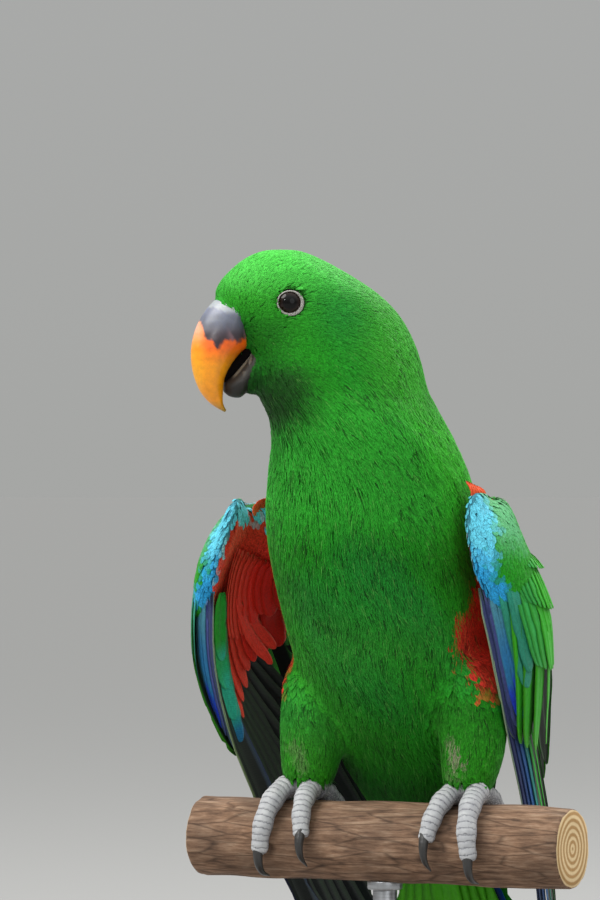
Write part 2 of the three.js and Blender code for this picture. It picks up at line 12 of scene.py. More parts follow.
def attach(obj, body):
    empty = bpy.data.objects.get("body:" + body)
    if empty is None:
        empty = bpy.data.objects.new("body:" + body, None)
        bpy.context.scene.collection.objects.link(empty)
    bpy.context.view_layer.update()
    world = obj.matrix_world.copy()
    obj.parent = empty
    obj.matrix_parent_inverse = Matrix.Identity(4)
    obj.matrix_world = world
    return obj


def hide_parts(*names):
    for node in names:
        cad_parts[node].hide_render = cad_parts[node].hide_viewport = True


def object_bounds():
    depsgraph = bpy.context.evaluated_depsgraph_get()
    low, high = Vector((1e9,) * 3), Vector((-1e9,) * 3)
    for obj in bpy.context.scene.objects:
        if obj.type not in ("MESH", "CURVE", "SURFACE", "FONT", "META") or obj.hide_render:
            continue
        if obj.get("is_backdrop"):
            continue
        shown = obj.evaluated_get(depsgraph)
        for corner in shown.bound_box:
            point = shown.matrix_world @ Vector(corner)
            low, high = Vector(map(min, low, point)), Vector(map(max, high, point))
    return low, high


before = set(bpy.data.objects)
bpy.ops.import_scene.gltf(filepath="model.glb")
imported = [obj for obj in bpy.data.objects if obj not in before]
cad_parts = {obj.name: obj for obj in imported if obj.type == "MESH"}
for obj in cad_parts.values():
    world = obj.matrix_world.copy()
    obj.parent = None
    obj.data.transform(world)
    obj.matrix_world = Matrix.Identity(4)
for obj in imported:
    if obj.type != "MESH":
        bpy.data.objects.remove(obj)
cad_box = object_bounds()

MM = 0.001


def rows_of(names, *rows):
    """A list of rows, each with its numbers under the given names."""
    return [dict(zip(names.split(), row)) for row in rows]


def named_rows(names, **rows):
    """Rows that have names of their own, each with its numbers under the given names."""
    return {key: dict(zip(names.split(), row)) for key, row in rows.items()}


# The stand and the perch
BASE = {"radius": 78, "thick": 12}
ROD_RADIUS = 4.5
PERCH = {"radius": 15.5, "length": 152}
PERCH_TOP = 149
GAP = 0.3  # between the perch and the feet

# The photograph: its camera's heading to the bird's left, its distance, the millimetres that a pixel
# spans at the bird, the place that the middle of the picture shows, and the picture's size in pixels.
PHOTO = {
    "turn": 27, "distance": 2000, "pixel": 0.37, "across": -31.45, "up": 278.5, "wide": 600, "high": 900,
}

# The head's frame, and in it the eyes and the two halves of the bill
HEAD = {"x": -15.3, "y": -38, "z": 178, "turn": -50}
EYE = {"f": 8, "h": 4.9, "side": 14.4, "radius": 5.6, "look": 10}
BILL_ROOT = (0, 21, -3)
CULMEN = {"f": 14.2, "h": -14, "radius": 27}
UPPER_BILL_ROWS = rows_of(
    "angle inset depth half",
    (58, 0, 15, 8.4), (43, 0, 19, 9.6), (26, 0, 20.5, 9.8), (9, 0, 18.6, 9.2), (-6, 0, 16.4, 8.3),
    (-19, 0, 13.4, 7.1), (-30, 0, 10, 5.8), (-41, 0.5, 6.3, 4), (-49, 1.2, 2.7, 2.2), (-55, 1.7, 1, 0.7),
)
LOWER_BILL_ROWS = rows_of(
    "f rim keel half",
    (11, -13, -26.5, 7.8), (17.5, -10.5, -28.4, 8.6), (20.8, -15.4, -29.1, 8.3), (24, -19.6, -29.5, 7.3),
    (26.8, -22.7, -29, 5.6), (28.7, -24.1, -27.6, 3.4),
)
RIM_LIP = 0.9
MOUTH_ROWS = rows_of(
    "f h half thick", (12, -9.5, 4.4, 3), (19, -11.5, 4.4, 3), (24, -17, 3.2, 2.8), (29.6, -23, 2, 2.4),
)

# The middle of the body from tail to neck, at each height
BODY_AXIS = [(-29, 0, 52), (-9, 0, 41.5), (28, 0, 21.5), (72, 0, 1), (112, 1, -15), (140, -0.5, -25.5)]
# The line down a leg: it shifts outwards over the first millimetres above the perch
LEG_AXIS = {"x": 32, "y": 3, "shift": 2, "over": 20, "reach": 15, "top": 56}

# Feet: toes wrap the perch; way is 1 to the front and -1 to the back
FOOT = {"x": 33, "y": 1, "r": 6.2, "low": 1.2, "top": 12}
TOES = rows_of(
    "name way out splay end r",
    ("front_outer", 1, 6.4, 3.5, 104, 4.3),
    ("front_inner", 1, -3.6, -4, 84, 4.1),
    ("back_outer", -1, 4.6, 2, 82, 4.2),
    ("back_inner", -1, -3.6, -3.5, 66, 4),
)
TOE_START = 8  # degrees from the perch's top
CLAW = {"length": 12, "r": 2.1}

# A wing's sheet: p runs down its leading edge, q back from it and w outwards
WING_LEAD = [
    (43, -22, 111), (49.5, -22.5, 85), (52, -13, 57), (49.5, 3, 29), (46.5, 20, 4), (45, 33, -23),
    (43, 44, -50), (41.5, 55, -77), (38.5, 66, -104),
]
WING_LENGTH = 245
WING_TURNS = rows_of(
    "p lead back curl", (0, 30, -65, 32), (60, 23, -38, 36), (130, 4, -44, 44), (WING_LENGTH, -8, -28, 44),
)
WING_HELD = named_rows("wrist bow drop", left=(0, 0, 0), right=(7.5, 14.5, 4.5))
ARM_PAD = {"p": 28, "q": 34, "w": 3.5, "long": 30.5, "wide": 34.5, "thick": 7}
HAND_PAD = {"p": 20, "q": 7, "w": 1, "long": 23, "wide": 10, "thick": 4}

# The tail's plane: p runs down it, q to the bird's left and w to its back
TAIL = {"y": 49, "z": -16, "slope": 22}
TAIL_ROOT = {"p": 10, "w": -0.3, "long": 18, "wide": 14, "thick": 4.6}

SIDES = {"left": 1, "right": -1}
HEAD_LEVEL = 140  # the height above which points belong to the head


# Numbers

def mix(a, b, t):
    """The value at share t of the way from a to b."""
    return a + (b - a) * t


def smooth(value, low, high):
    """0 below low and 1 above high, with a soft step between."""
    t = np.clip((value - low) / (high - low), 0, 1)
    return t * t * (3 - 2 * t)


def unit(vectors):
    return vectors / np.maximum(np.linalg.norm(vectors, axis=-1, keepdims=True), 1e-9)


def fill(rows, steps):
    """Rows of named numbers, filled in by a smooth curve through them."""
    last = len(rows) - 1
    filled = []
    for s in range(last * steps + 1):
        i = min(s // steps, last - 1)
        t = s / steps - i
        four = [rows[min(max(k, 0), last)] for k in range(i - 1, i + 3)]
        row = {}
        for key in rows[0]:
            a, b, c, d = (near[key] for near in four)
            curve = 2 * b + (c - a) * t + (2 * a - 5 * b + 4 * c - d) * t * t
            row[key] = 0.5 * (curve + (3 * b - a - 3 * c + d) * t**3)
        filled.append(row)
    return filled


def curve_through(points, samples=400, steps=60):
    """A centripetal curve through points, as even samples of place by length along it."""
    points = np.array(points, float)
    ends = [2 * points[0] - points[1], *points, 2 * points[-1] - points[-2]]
    places = []
    for i in range(len(points) - 1):
        p0, p1, p2, p3 = ends[i:i + 4]
        d0, d1, d2 = (math.sqrt(np.linalg.norm(b - a)) for a, b in ((p0, p1), (p1, p2), (p2, p3)))
        t1 = ((p1 - p0) / d0 - (p2 - p0) / (d0 + d1) + (p2 - p1) / d1) * d1
        t2 = ((p2 - p1) / d1 - (p3 - p1) / (d1 + d2) + (p3 - p2) / d2) * d1
        bend, twist = 3 * (p2 - p1) - 2 * t1 - t2, 2 * (p1 - p2) + t1 + t2
        for t in np.linspace(0, 1, steps, endpoint=i == len(points) - 2):
            places.append(p1 + t1 * t + bend * t**2 + twist * t**3)
    places = np.array(places)
    length = np.r_[0, np.cumsum(np.linalg.norm(np.diff(places, axis=0), axis=1))]
    even = np.linspace(0, length[-1], samples)
    return np.stack([np.interp(even, length, places[:, k]) for k in range(3)], axis=1)


def ripple(points, size, seed):
    """A soft patchy pattern from -1 to 1, with patches of about that size."""
    waves = np.random.default_rng(seed)
    total = 0
    for _ in range(5):
        way = unit(waves.normal(size=3)) * waves.uniform(0.7, 1.5) * math.pi / size
        total = total + np.sin(points @ way + waves.uniform(0, 2 * math.pi))
    return np.clip(total / 2.6, -1, 1)


def patches(points, size, seed):
    """The upper half of a ripple: patches from 0 to 1."""
    return np.clip(ripple(points, size, seed), 0, 1)


def circle(sides):
    """Angles evenly round a circle."""
    return 2 * math.pi * np.arange(sides) / sides


def egg(rings, sides):
    """The rings of a unit sphere: how far each point is across, out and down."""
    a = np.linspace(0, math.pi, rings + 2)[1:-1, None]
    b = np.linspace(0, 2 * math.pi, sides, endpoint=False)[None, :]
    return np.sin(a) * np.cos(b), np.sin(a) * np.sin(b), np.cos(a) + 0 * b


def search_tree(spots):
    """A tree that finds the nearest of the spots."""
    tree = KDTree(len(spots))
    for i, spot in enumerate(spots):
        tree.insert(spot, i)
    tree.balance()
    return tree


# Places on the bird, in millimetres from the perch's top

def in_head(side, f, h):
    """The bird's place of a point in its head: side to its left, f forward, h up."""
    turn = math.radians(HEAD["turn"])
    c, s = math.cos(turn), math.sin(turn)
    x, y = side * c + f * s, side * s - f * c
    return np.stack(np.broadcast_arrays(HEAD["x"] + x, HEAD["y"] + y, HEAD["z"] + h), axis=-1)


def head_places(points):
    """side, f and h of points of the bird."""
    turn = math.radians(HEAD["turn"])
    c, s = math.cos(turn), math.sin(turn)
    dx, dy = points[..., 0] - HEAD["x"], points[..., 1] - HEAD["y"]
    return dx * c + dy * s, dx * s - dy * c, points[..., 2] - HEAD["z"]


def axis_at(z):
    """The body's middle at heights z, and the way down it towards the tail."""
    heights, xs, ys = zip(*BODY_AXIS)
    x, y = np.interp(z, heights, xs), np.interp(z, heights, ys)
    slope = (np.interp(z + 12, heights, ys) - np.interp(z - 12, heights, ys)) / 24
    down = unit(np.stack([0 * slope, -slope, -np.ones_like(slope)], axis=-1))
    return x, y, down


def round_body(points):
    """Degrees round the body from its breast, to its left and to its right."""
    x, y, _ = axis_at(points[..., 2])
    return np.degrees(np.arctan2(points[..., 0] - x, y - points[..., 1]))


def leg_reach(points):
    """How far points are outside the legs, and which leg is near."""
    side = np.where(points[..., 0] > 0, 1, -1)
    middle = side * LEG_AXIS["x"] + LEG_AXIS["shift"] * np.clip(points[..., 2] / LEG_AXIS["over"], 0, 1)
    away = np.hypot(points[..., 0] - middle, points[..., 1] - LEG_AXIS["y"])
    return away - LEG_AXIS["reach"], side


def scene_place(points):
    return (np.asarray(points, float) + (0, 0, PERCH_TOP)) * MM


def bird_place(points):
    return np.asarray(points, float) / MM - (0, 0, PERCH_TOP)


# Colours

def linear(code):
    """The linear colour of an sRGB hex code."""
    parts = [int(code[i:i + 2], 16) / 255 for i in (1, 3, 5)]
    return np.array([c / 12.92 if c <= 0.04045 else ((c + 0.055) / 1.055) ** 2.4 for c in parts])


def rgba(colour):
    """Red, green, blue and alpha of an sRGB hex code, of a grey level or of three levels."""
    return (*(linear(colour) if isinstance(colour, str) else np.broadcast_to(colour, 3)), 1)


GREEN = linear("#21a018")
GREEN_LIGHT = linear("#44bd30")
# The crown's green, partly painted sheen from the light above
CROWN_GREEN_AND_SHEEN = linear("#4fd64c")
GREEN_BLUISH = linear("#209a3e")
GREEN_DEEP = linear("#0d5a0c")
GREEN_YELLOW = linear("#54b017")
# A painted highlight on locks that catch the light
HIGHLIGHT_STROKE = linear("#7cc95c")
RED = linear("#e2281c")
RED_BRIGHT = linear("#ff4a38")
# Red darkened as painted shade near the body
RED_IN_SHADE = linear("#5c1010")
ORANGE_RED = linear("#ff7440")
TURQUOISE = linear("#6adcf8")
SKY = linear("#2fb0f2")
TEAL = linear("#2aa892")
BLUE = linear("#2340d8")
BLUE_MID = linear("#2a6fc8")
SLATE = linear("#39406f")
BLACK = linear("#121316")
CREAM_GREEN = linear("#b8d8a0")
GREY_DOWN = linear("#b39c92")
GREEN_NECK = linear("#3cc83a")
# Painted sheen on the left shoulder's edge
SHOULDER_SHEEN_GREEN = linear("#44d62a")
# Painted shadow on the chin, under the bill
CHIN_SHADOW = linear("#14260c")
TAIL_TIP = linear("#d8cf86")


def blend(colour, *layers):
    """A colour with others laid over it in turn, each given as a colour and its share."""
    for other, share in layers:
        share = np.asarray(share, float)[..., None]
        colour = colour * (1 - share) + other * share
    return colour


def in_photo(points):
    """Where points of the bird come in a 600 by 900 picture taken from the photo's place."""
    turn = math.radians(PHOTO["turn"])
    across = points[..., 0] * math.cos(turn) + points[..., 1] * math.sin(turn) - PHOTO["across"]
    far = points[..., 1] * math.cos(turn) - points[..., 0] * math.sin(turn) + PHOTO["distance"]
    scale = PHOTO["distance"] / far / PHOTO["pixel"]
    high = (points[..., 2] + PERCH_TOP - PHOTO["up"]) * scale
    return PHOTO["wide"] / 2 + across * scale, PHOTO["high"] / 2 - high


# The front borders of the red flanks, as heights and places across the picture
FLANK_LEFT = [
    (538, 478), (560, 468), (592, 462), (605, 450), (634, 451), (646, 458), (664, 462), (680, 470),
    (692, 492),
]
FLANK_RIGHT = [(606, 274), (616, 284), (624, 291), (660, 292), (683, 290), (694, 280)]
# Where greyish down shows between the trousers' feathers, as places and sizes in the picture
DOWN_PATCHES = rows_of(
    "across down wide tall share", (458, 744, 6, 19, 1), (454, 768, 5, 12, 0.4), (300, 745, 6, 24, 0.35),
)


def flank_share(points, turned):
    """How red points are: 1 on the red flanks, whose front borders come from the picture."""
    across, down = in_photo(points)
    left, round_ = turned > 0, np.abs(turned)
    seen_left = smooth(across - np.interp(down, *zip(*FLANK_LEFT)), -1.5, 1.5)
    seen_right = smooth(np.interp(down, *zip(*FLANK_RIGHT)) - across, -1.5, 1.5)
    hidden = np.where(left, smooth(round_, 92, 96), smooth(round_, 66, 70))
    flank = np.maximum(np.where(left, seen_left, seen_right), hidden) * smooth(-round_, -120, -116)
    z = points[..., 2]
    return flank * smooth(z, 42, 48) * smooth(-z, -98, -94) * np.where(left, smooth(round_, 40, 44), 1)


def down_share(points):
    """How much of the greyish down shows at points."""
    across, down = in_photo(points)
    shown = np.zeros(len(points))
    for patch in DOWN_PATCHES:
        aside = (across - patch["across"] + 0.3 * (patch["down"] - down)) / patch["wide"]
        near = np.exp(-(aside**2) - ((down - patch["down"]) / patch["tall"]) ** 2)
        shown = np.maximum(shown, patch["share"] * smooth(near, 0.3, 0.75) * smooth(-points[..., 1], -2, 3))
    return shown


def plumage(points):
    """The markings of skin and coat at points of the bird."""
    _, f, h = head_places(points)
    z = points[..., 2]
    turned = round_body(points)
    legs, _ = leg_reach(points)
    on_head = smooth(z, 138, 152)
    neck = smooth(z, 94, 120) * smooth(-z, -158, -140)
    shoulder = smooth(turned, 50, 90) * smooth(-turned, -170, -110) * smooth(z, 84, 108)
    chin = smooth(f, -5, 11) * smooth(-h, 13, 22) * smooth(z, 136, 147)
    return blend(
        GREEN,
        (GREEN_LIGHT, 0.45 * patches(points, 30, 3)),
        (GREEN_BLUISH, 0.55 * patches(points, 22, 5) * (1 - 0.5 * on_head)),
        (GREEN_DEEP, 0.3 * patches(points, 16, 8) * (1 - on_head)),
        # The neck is lighter, the left shoulder's edge yellower and lighter with painted sheen, and the
        # belly deeper round a lighter middle
        (GREEN_NECK, 0.75 * neck),
        (SHOULDER_SHEEN_GREEN, 0.85 * shoulder * (1 - 0.6 * on_head)),
        (GREEN_DEEP, 0.3 * smooth(-z, -66, -30) * smooth(-np.abs(turned), -80, -30)),
        (GREEN_LIGHT, 0.35 * np.exp(-(((z - 64) / 15) ** 2) - (turned / 55) ** 2)),
        # The head is brightest on its crown, partly its own lighter green and partly painted sheen from the
        # light above; it is bluer over the ear, darkened by painted shadow on the chin under the bill, and
        # darker before the eye
        (CROWN_GREEN_AND_SHEEN, 0.9 * smooth(h, 2, 17) * on_head),
        (GREEN_LIGHT, 0.5 * smooth(-f, 8, 24) * on_head),
        (GREEN_BLUISH, 0.5 * on_head * np.exp(-((f + 8) ** 2 + (h - 1) ** 2) / 90)),
        (CHIN_SHADOW, 0.85 * chin),
        (GREEN_DEEP, 0.6 * smooth(f, 4, 17) * smooth(-h, -3, 5) * on_head),
        # The trousers and the vent are yellower
        (GREEN_YELLOW, 0.3 * smooth(-z, -60, 10) * smooth(-legs, -6, 2)),
        (GREEN_YELLOW, 0.6 * smooth(-z, -5, 20)),
        # The red flanks: their own red, lightened as painted light against the wing's shadow
        (blend(RED, (RED_BRIGHT, 0.6)), flank_share(points, turned)),
        (GREY_DOWN, 0.6 * down_share(points)),
    )


# Materials

MULTIPLY = {"data_type": "RGBA", "blend_type": "MULTIPLY"}


def feed(node, inputs):
    """Sets a node's inputs, each to a value or to a link."""
    for key, value in inputs.items():
        if isinstance(value, bpy.types.NodeSocket):
            node.id_data.links.new(value, node.inputs[key])
        else:
            node.inputs[key].default_value = value


def add(tree, kind, inputs=None, stops=(), **settings):
    """Adds a node with its settings, inputs and colour stops, and gives its outputs."""
    made = tree.nodes.new(kind)
    for key, value in settings.items():
        setattr(made, key, value)
    feed(made, inputs or {})
    if stops:
        while len(made.color_ramp.elements) < len(stops):
            made.color_ramp.elements.new(0.5)
        for element, (place, colour) in zip(made.color_ramp.elements, stops):
            element.position = place
            element.color = rgba(colour)
    return made.outputs


def material(name, base):
    """A new material of one plain colour, with its node tree and its shader."""
    made = bpy.data.materials.new(name)
    made.use_nodes = True
    shader = made.node_tree.nodes["Principled BSDF"]
    feed(shader, {"Base Color": rgba(base)})
    return made, made.node_tree, shader


def feather_material(name, roughness, streak, barb_mm):
    """Feather keratin: barbs slant off a shaft, with painted highlights and painted shade in fine streaks
    along them, and a silky sheen.
    """
    made, tree, shader = material(name, "#3f953f")
    colour = add(tree, "ShaderNodeAttribute", attribute_name="plumage")["Color"]
    vane = add(tree, "ShaderNodeAttribute", attribute_name="vane")["Vector"]
    parts = add(tree, "ShaderNodeSeparateXYZ", {"Vector": vane})
    across = add(tree, "ShaderNodeMath", {0: parts["X"]}, operation="ABSOLUTE")[0]
    slant = add(tree, "ShaderNodeMath", {0: parts["Y"], 1: across}, operation="SUBTRACT")[0]
    barbs = add(tree, "ShaderNodeMath", {0: slant, 1: 2 * math.pi / barb_mm}, operation="MULTIPLY")[0]
    wave = add(tree, "ShaderNodeMath", {0: barbs}, operation="SINE")[0]
    # Real barbs are too fine to show, so the strokes along the feather are a third of a millimetre wide;
    # their dark streaks are painted shade between barbs, and the barb lines lighten as painted highlights
    place = add(tree, "ShaderNodeCombineXYZ", {"X": slant, "Y": parts["Z"], "Z": parts["X"]})[0]
    fine = add(tree, "ShaderNodeVectorMath", {0: place, 1: (0.9, 5, 2.4)}, operation="MULTIPLY")[0]
    noise = add(tree, "ShaderNodeTexNoise", {"Vector": fine, "Scale": 1.0, "Detail": 3.0})["Fac"]
    dark = add(tree, "ShaderNodeValToRGB", {"Fac": noise}, [(0.36, 1 - streak), (0.58, 1)])[0]
    streaked = add(tree, "ShaderNodeMix", {0: 1.0, 6: colour, 7: dark}, **MULTIPLY)[2]
    lines = add(tree, "ShaderNodeMapRange", {
        "Value": wave, "From Min": -1, "To Min": 0.9, "To Max": 1.06,
    })[0]
    lined = add(tree, "ShaderNodeVectorMath", {0: streaked, "Scale": lines}, operation="SCALE")[0]
    bump = add(tree, "ShaderNodeBump", {"Height": wave, "Strength": 0.25, "Distance": 0.1 * MM})[0]
    feed(shader, {
        "Base Color": lined, "Normal": bump, "Roughness": roughness, "Specular IOR Level": 0.16,
        "Sheen Weight": 0.1, "Sheen Roughness": 0.45, "Sheen Tint": (0.5, 1, 0.4, 1),
    })
    return made


# Making meshes

def deselect():
    bpy.ops.object.select_all(action="DESELECT")


def only(piece):
    deselect()
    piece.select_set(True)
    bpy.context.view_layer.objects.active = piece


def shape(piece, kind, **settings):
    """Adds a modifier to a piece and applies it."""
    only(piece)
    modifier = piece.modifiers.new(kind, kind)
    for key, value in settings.items():
        setattr(modifier, key, value)
    bpy.ops.object.modifier_apply(modifier=modifier.name)


def vertices(piece, value="co"):
    """The places of a piece's vertices in scene metres, or with "normal" their normals."""
    flat = np.empty(3 * len(piece.data.vertices))
    piece.data.vertices.foreach_get(value, flat)
    return flat.reshape(-1, 3)


def points_of(piece):
    """The places of a piece's vertices on the bird."""
    return bird_place(vertices(piece))


def move_points(piece, points):
    """Puts a piece's vertices at places of the bird."""
    piece.data.vertices.foreach_set("co", scene_place(points).ravel())
    piece.data.update()


def edit_all(piece):
    """Opens a piece in edit mode with all of it selected."""
    only(piece)
    bpy.ops.object.mode_set(mode="EDIT")
    bpy.ops.mesh.select_all(action="SELECT")


def merge_doubles(piece):
    edit_all(piece)
    bpy.ops.mesh.remove_doubles(threshold=0.01 * MM)
    bpy.ops.object.mode_set(mode="OBJECT")


def closed(piece):
    """Turns a piece's faces outwards and shades it smooth."""
    edit_all(piece)
    bpy.ops.mesh.normals_make_consistent(inside=False)
    bpy.ops.object.mode_set(mode="OBJECT")
    bpy.ops.object.shade_smooth()
    return piece


def joined(parts):
    """Parts joined to the first of them."""
    deselect()
    for part in parts:
        part.select_set(True)
    bpy.context.view_layer.objects.active = parts[0]
    bpy.ops.object.join()
    return parts[0]


def fuse(piece, voxel, rounds):
    """Makes one smooth skin of a piece's parts, with a remesh of that grain."""
    shape(piece, "REMESH", mode="VOXEL", voxel_size=voxel * MM)
    shape(piece, "SMOOTH", factor=0.5, iterations=rounds)
    return piece


def node_copy(node):
    """A piece with a copy of a CAD node's mesh."""
    part = bpy.data.objects.new("flesh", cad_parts[node].data.copy())
    bpy.context.scene.collection.objects.link(part)
    return part


def paint(piece, name, colours):
    """Gives each vertex of a piece its colour, under an attribute's name."""
    layer = piece.data.attributes.new(name, "FLOAT_COLOR", "POINT")
    layer.data.foreach_set("color", np.c_[colours, np.ones(len(colours))].ravel())


def mark(piece, name, values):
    """Gives each vertex of a piece a number, under an attribute's name."""
    layer = piece.data.attributes.new(name, "FLOAT", "POINT")
    layer.data.foreach_set("value", values.astype(np.float32))


def finish(piece, name, surface, replaces=()):
    """Names a piece, gives it its material, hangs it under the root body and hides the CAD nodes that it
    stands for.
    """
    piece.name = name
    piece.data.name = name
    piece.data.materials.clear()
    piece.data.materials.append(surface)
    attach(piece, "root")
    if replaces:
        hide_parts(*replaces)
    return piece


def array_piece(points, loops, sizes, colours, vane, uv):
    """One mesh of many like parts, from its points, corners, face sizes, colours, vane places and unwrap."""
    mesh = bpy.data.meshes.new("array")
    mesh.vertices.add(len(points))
    mesh.vertices.foreach_set("co", scene_place(points).ravel())
    mesh.loops.add(len(loops))
    mesh.loops.foreach_set("vertex_index", loops)
    mesh.polygons.add(len(sizes))
    mesh.polygons.foreach_set("loop_start", np.r_[0, np.cumsum(sizes)[:-1]])
    mesh.update(calc_edges=True)
    mesh.polygons.foreach_set("use_smooth", np.ones(len(sizes), bool))
    piece = bpy.data.objects.new("array", mesh)
    bpy.context.scene.collection.objects.link(piece)
    paint(piece, "plumage", colours)
    mesh.attributes.new("vane", "FLOAT_VECTOR", "POINT").data.foreach_set("vector", vane.ravel())
    mesh.uv_layers.new(name="OFBake").data.foreach_set("uv", uv.ravel())
    return piece


def ringed(rings):
    """A closed body from rings of points: a sphere primitive set to them, with its poles at their ends."""
    rings = np.asarray(rings, float)
    count, sides = rings.shape[:2]
    deselect()
    bpy.ops.mesh.primitive_uv_sphere_add(segments=sides, ring_count=count + 1, radius=1)
    piece = bpy.context.object
    at = vertices(piece)
    row = np.rint(np.degrees(np.arccos(np.clip(at[:, 2], -1, 1))) / (180 / (count + 1))).astype(int) - 1
    column = np.rint(np.degrees(np.arctan2(at[:, 1], at[:, 0])) / (360 / sides)).astype(int) % sides
    places = rings[np.clip(row, 0, count - 1), column]
    places[row < 0] = rings[0].mean(axis=0)
    places[row >= count] = rings[-1].mean(axis=0)
    move_points(piece, places)
    return closed(piece)


# Skin

FLESH = ("head", "neck", "torso", "leg_left", "leg_right")
SKIN_VOXEL = 1.0
SKIN_OVERLAP = 0.4
LID_DEPTH = 1.2
# How far forward feathers cover the two halves of the bill, as f at each h
UPPER_COVER = [(-12, 23), (-8, 23.9), (0.3, 27.8), (2.5, 31.2), (3.8, 34.6), (9, 36.5)]
LOWER_COVER = [(-31, 20), (-28, 20.6), (-25, 21.6), (-14, 21)]


def past_cover(points):
    """How far points of the head are in front of the feathers' edge on the bill."""
    _, f, h = head_places(points)
    upper = f - np.interp(h, *zip(*UPPER_COVER))
    lower = f - np.interp(h, *zip(*LOWER_COVER))
    return mix(lower, upper, smooth(h, -15.5, -12.5))


def bill_stump(node, top, low):
    """A copy of one half of the bill, cut off just in front of its feathers by a plane through f, h."""
    part = node_copy(node)
    merge_doubles(part)
    (f0, h0), (f1, h1) = top, low
    ahead = unit(in_head(0, h0 - h1, f1 - f0) - in_head(0, 0, 0))
    edit_all(part)
    bpy.ops.mesh.bisect(
        plane_co=scene_place(in_head(0, f0, h0)), plane_no=ahead, use_fill=True, clear_outer=True,
    )
    bpy.ops.object.mode_set(mode="OBJECT")
    return part


def coat_depth(points):
    """How deep the coat is over the skin."""
    _, f, _ = head_places(points)
    z = points[..., 2]
    face = smooth(z, 140, 165) * smooth(f, -22, 10)
    depth = mix(3.2, 1.4, smooth(z, 132, 160))
    depth = mix(depth, 0.7, face)
    legs, _ = leg_reach(points)
    depth = mix(depth, 1.8, smooth(-legs, -3, 0) * smooth(-z, -56, -40))
    return depth + 1.2 * smooth(past_cover(points), 0.4, 1.8) * smooth(z, 140, 145)


def make_skin():
    """One skin over head, neck, torso and legs, as deep under their surface as the coat is thick."""
    parts = [node_copy(node) for node in FLESH]
    parts.append(bill_stump("bill_upper", (37.5, 4), (25.5, -10)))
    parts.append(bill_stump("bill_lower", (22, -12), (24, -30)))
    skin = joined(parts)
    merge_doubles(skin)
    shape(skin, "DISPLACE", strength=SKIN_OVERLAP * MM, mid_level=0)
    fuse(skin, SKIN_VOXEL, 14)
    points = points_of(skin)
    depth = coat_depth(points) + SKIN_OVERLAP
    move_points(skin, points - vertices(skin, "normal") * depth[:, None])
    shape(skin, "SMOOTH", factor=0.5, iterations=4)
    # Under the lids the skin lies deeper, so that only their rings show
    points = points_of(skin)
    past, looks = past_lids(points)
    move_points(skin, points - LID_DEPTH * smooth(-past, -0.3, 0.3)[:, None] * looks)
    only(skin)
    bpy.ops.object.shade_smooth()
    paint(skin, "plumage", plumage(points_of(skin)))
    return skin


def skin_material():
    """Bird skin under short down: matt, in the colours of the feathers over it, darkened as painted shade
    where it shows between them.
    """
    made, tree, shader = material("down_covered_skin", "#266126")
    colour = add(tree, "ShaderNodeAttribute", attribute_name="plumage")["Color"]
    place = add(tree, "ShaderNodeTexCoord")["Object"]
    down = add(tree, "ShaderNodeTexNoise", {"Vector": place, "Scale": 1 / (0.8 * MM), "Detail": 2.0})["Fac"]
    # Painted shade: the skin keeps only a fifth to nearly half of its feathers' colour
    shade = add(tree, "ShaderNodeValToRGB", {"Fac": down}, [(0.3, 0.2), (0.7, 0.45)])[0]
    coloured = add(tree, "ShaderNodeMix", {0: 1.0, 6: colour, 7: shade}, **MULTIPLY)[2]
    bump = add(tree, "ShaderNodeBump", {"Height": down, "Strength": 0.6, "Distance": 0.3 * MM})[0]
    feed(shader, {"Base Color": coloured, "Normal": bump, "Roughness": 0.85, "Specular IOR Level": 0.2})
    return made


# Coat

# A body feather and a single lock of barbs: the width and the height at shares of the way along,
# the height of the ridge as a share of the half width, and how far the sides' shading turns out.
CONTOUR = {
    "along": (0, 0.3, 0.62, 0.87, 1), "width": (0.35, 0.85, 1, 0.7), "rise": (-0.1, 0.5, 0.8, 0.93, 0.9),
    "ridge": 0.1, "turn": 0.3, "uneven": 0.05,
}
LOCK = {
    "along": (0, 0.5, 1), "width": (0.7, 1), "rise": (0.45, 0.98, 1.08),
    "ridge": 0.4, "turn": 0.3, "uneven": 0.06,
}
# The part of the unwrap, 1 wide and 1 high, that a body feather takes up
PATCH_WIDE = 0.0015
PATCH_LONG = 0.003


def feather_faces(stations):
    """The corners, face sizes and upper corners of a three-sided feather with a pointed tip."""
    loops, sizes, upper = [], [], []
    for i in range(stations - 1):
        a, b = 3 * i, 3 * i + 3
        quads = (a, a + 1, b + 1, b), (a + 1, a + 2, b + 2, b + 1), (a + 2, a, b, b + 2)
        for number, quad in enumerate(quads):
            loops += quad
            sizes.append(4)
            upper += [number < 2] * 4
    a, tip = 3 * (stations - 1), 3 * stations
    for number, face in enumerate(((a, a + 1, tip), (a + 1, a + 2, tip), (a + 2, a, tip), (0, 2, 1))):
        loops += face
        sizes.append(3)
        upper += [number < 2] * 3
    return np.array(loops), np.array(sizes), np.array(upper)


def even_out(values, triangles, count, rounds):
    """Values at points of a surface, blended over that many rounds of neighbours."""
    a = triangles[:, (0, 1, 2, 1, 2, 0)].ravel()
    b = triangles[:, (1, 2, 0, 0, 1, 2)].ravel()
    near = np.bincount(a, minlength=count)
    values = values.copy()
    for _ in range(rounds):
        for k in range(values.shape[1]):
            total = np.bincount(a, weights=values[b, k], minlength=count)
            values[:, k] = (values[:, k] + total / np.maximum(near, 1)) / 2
    return values


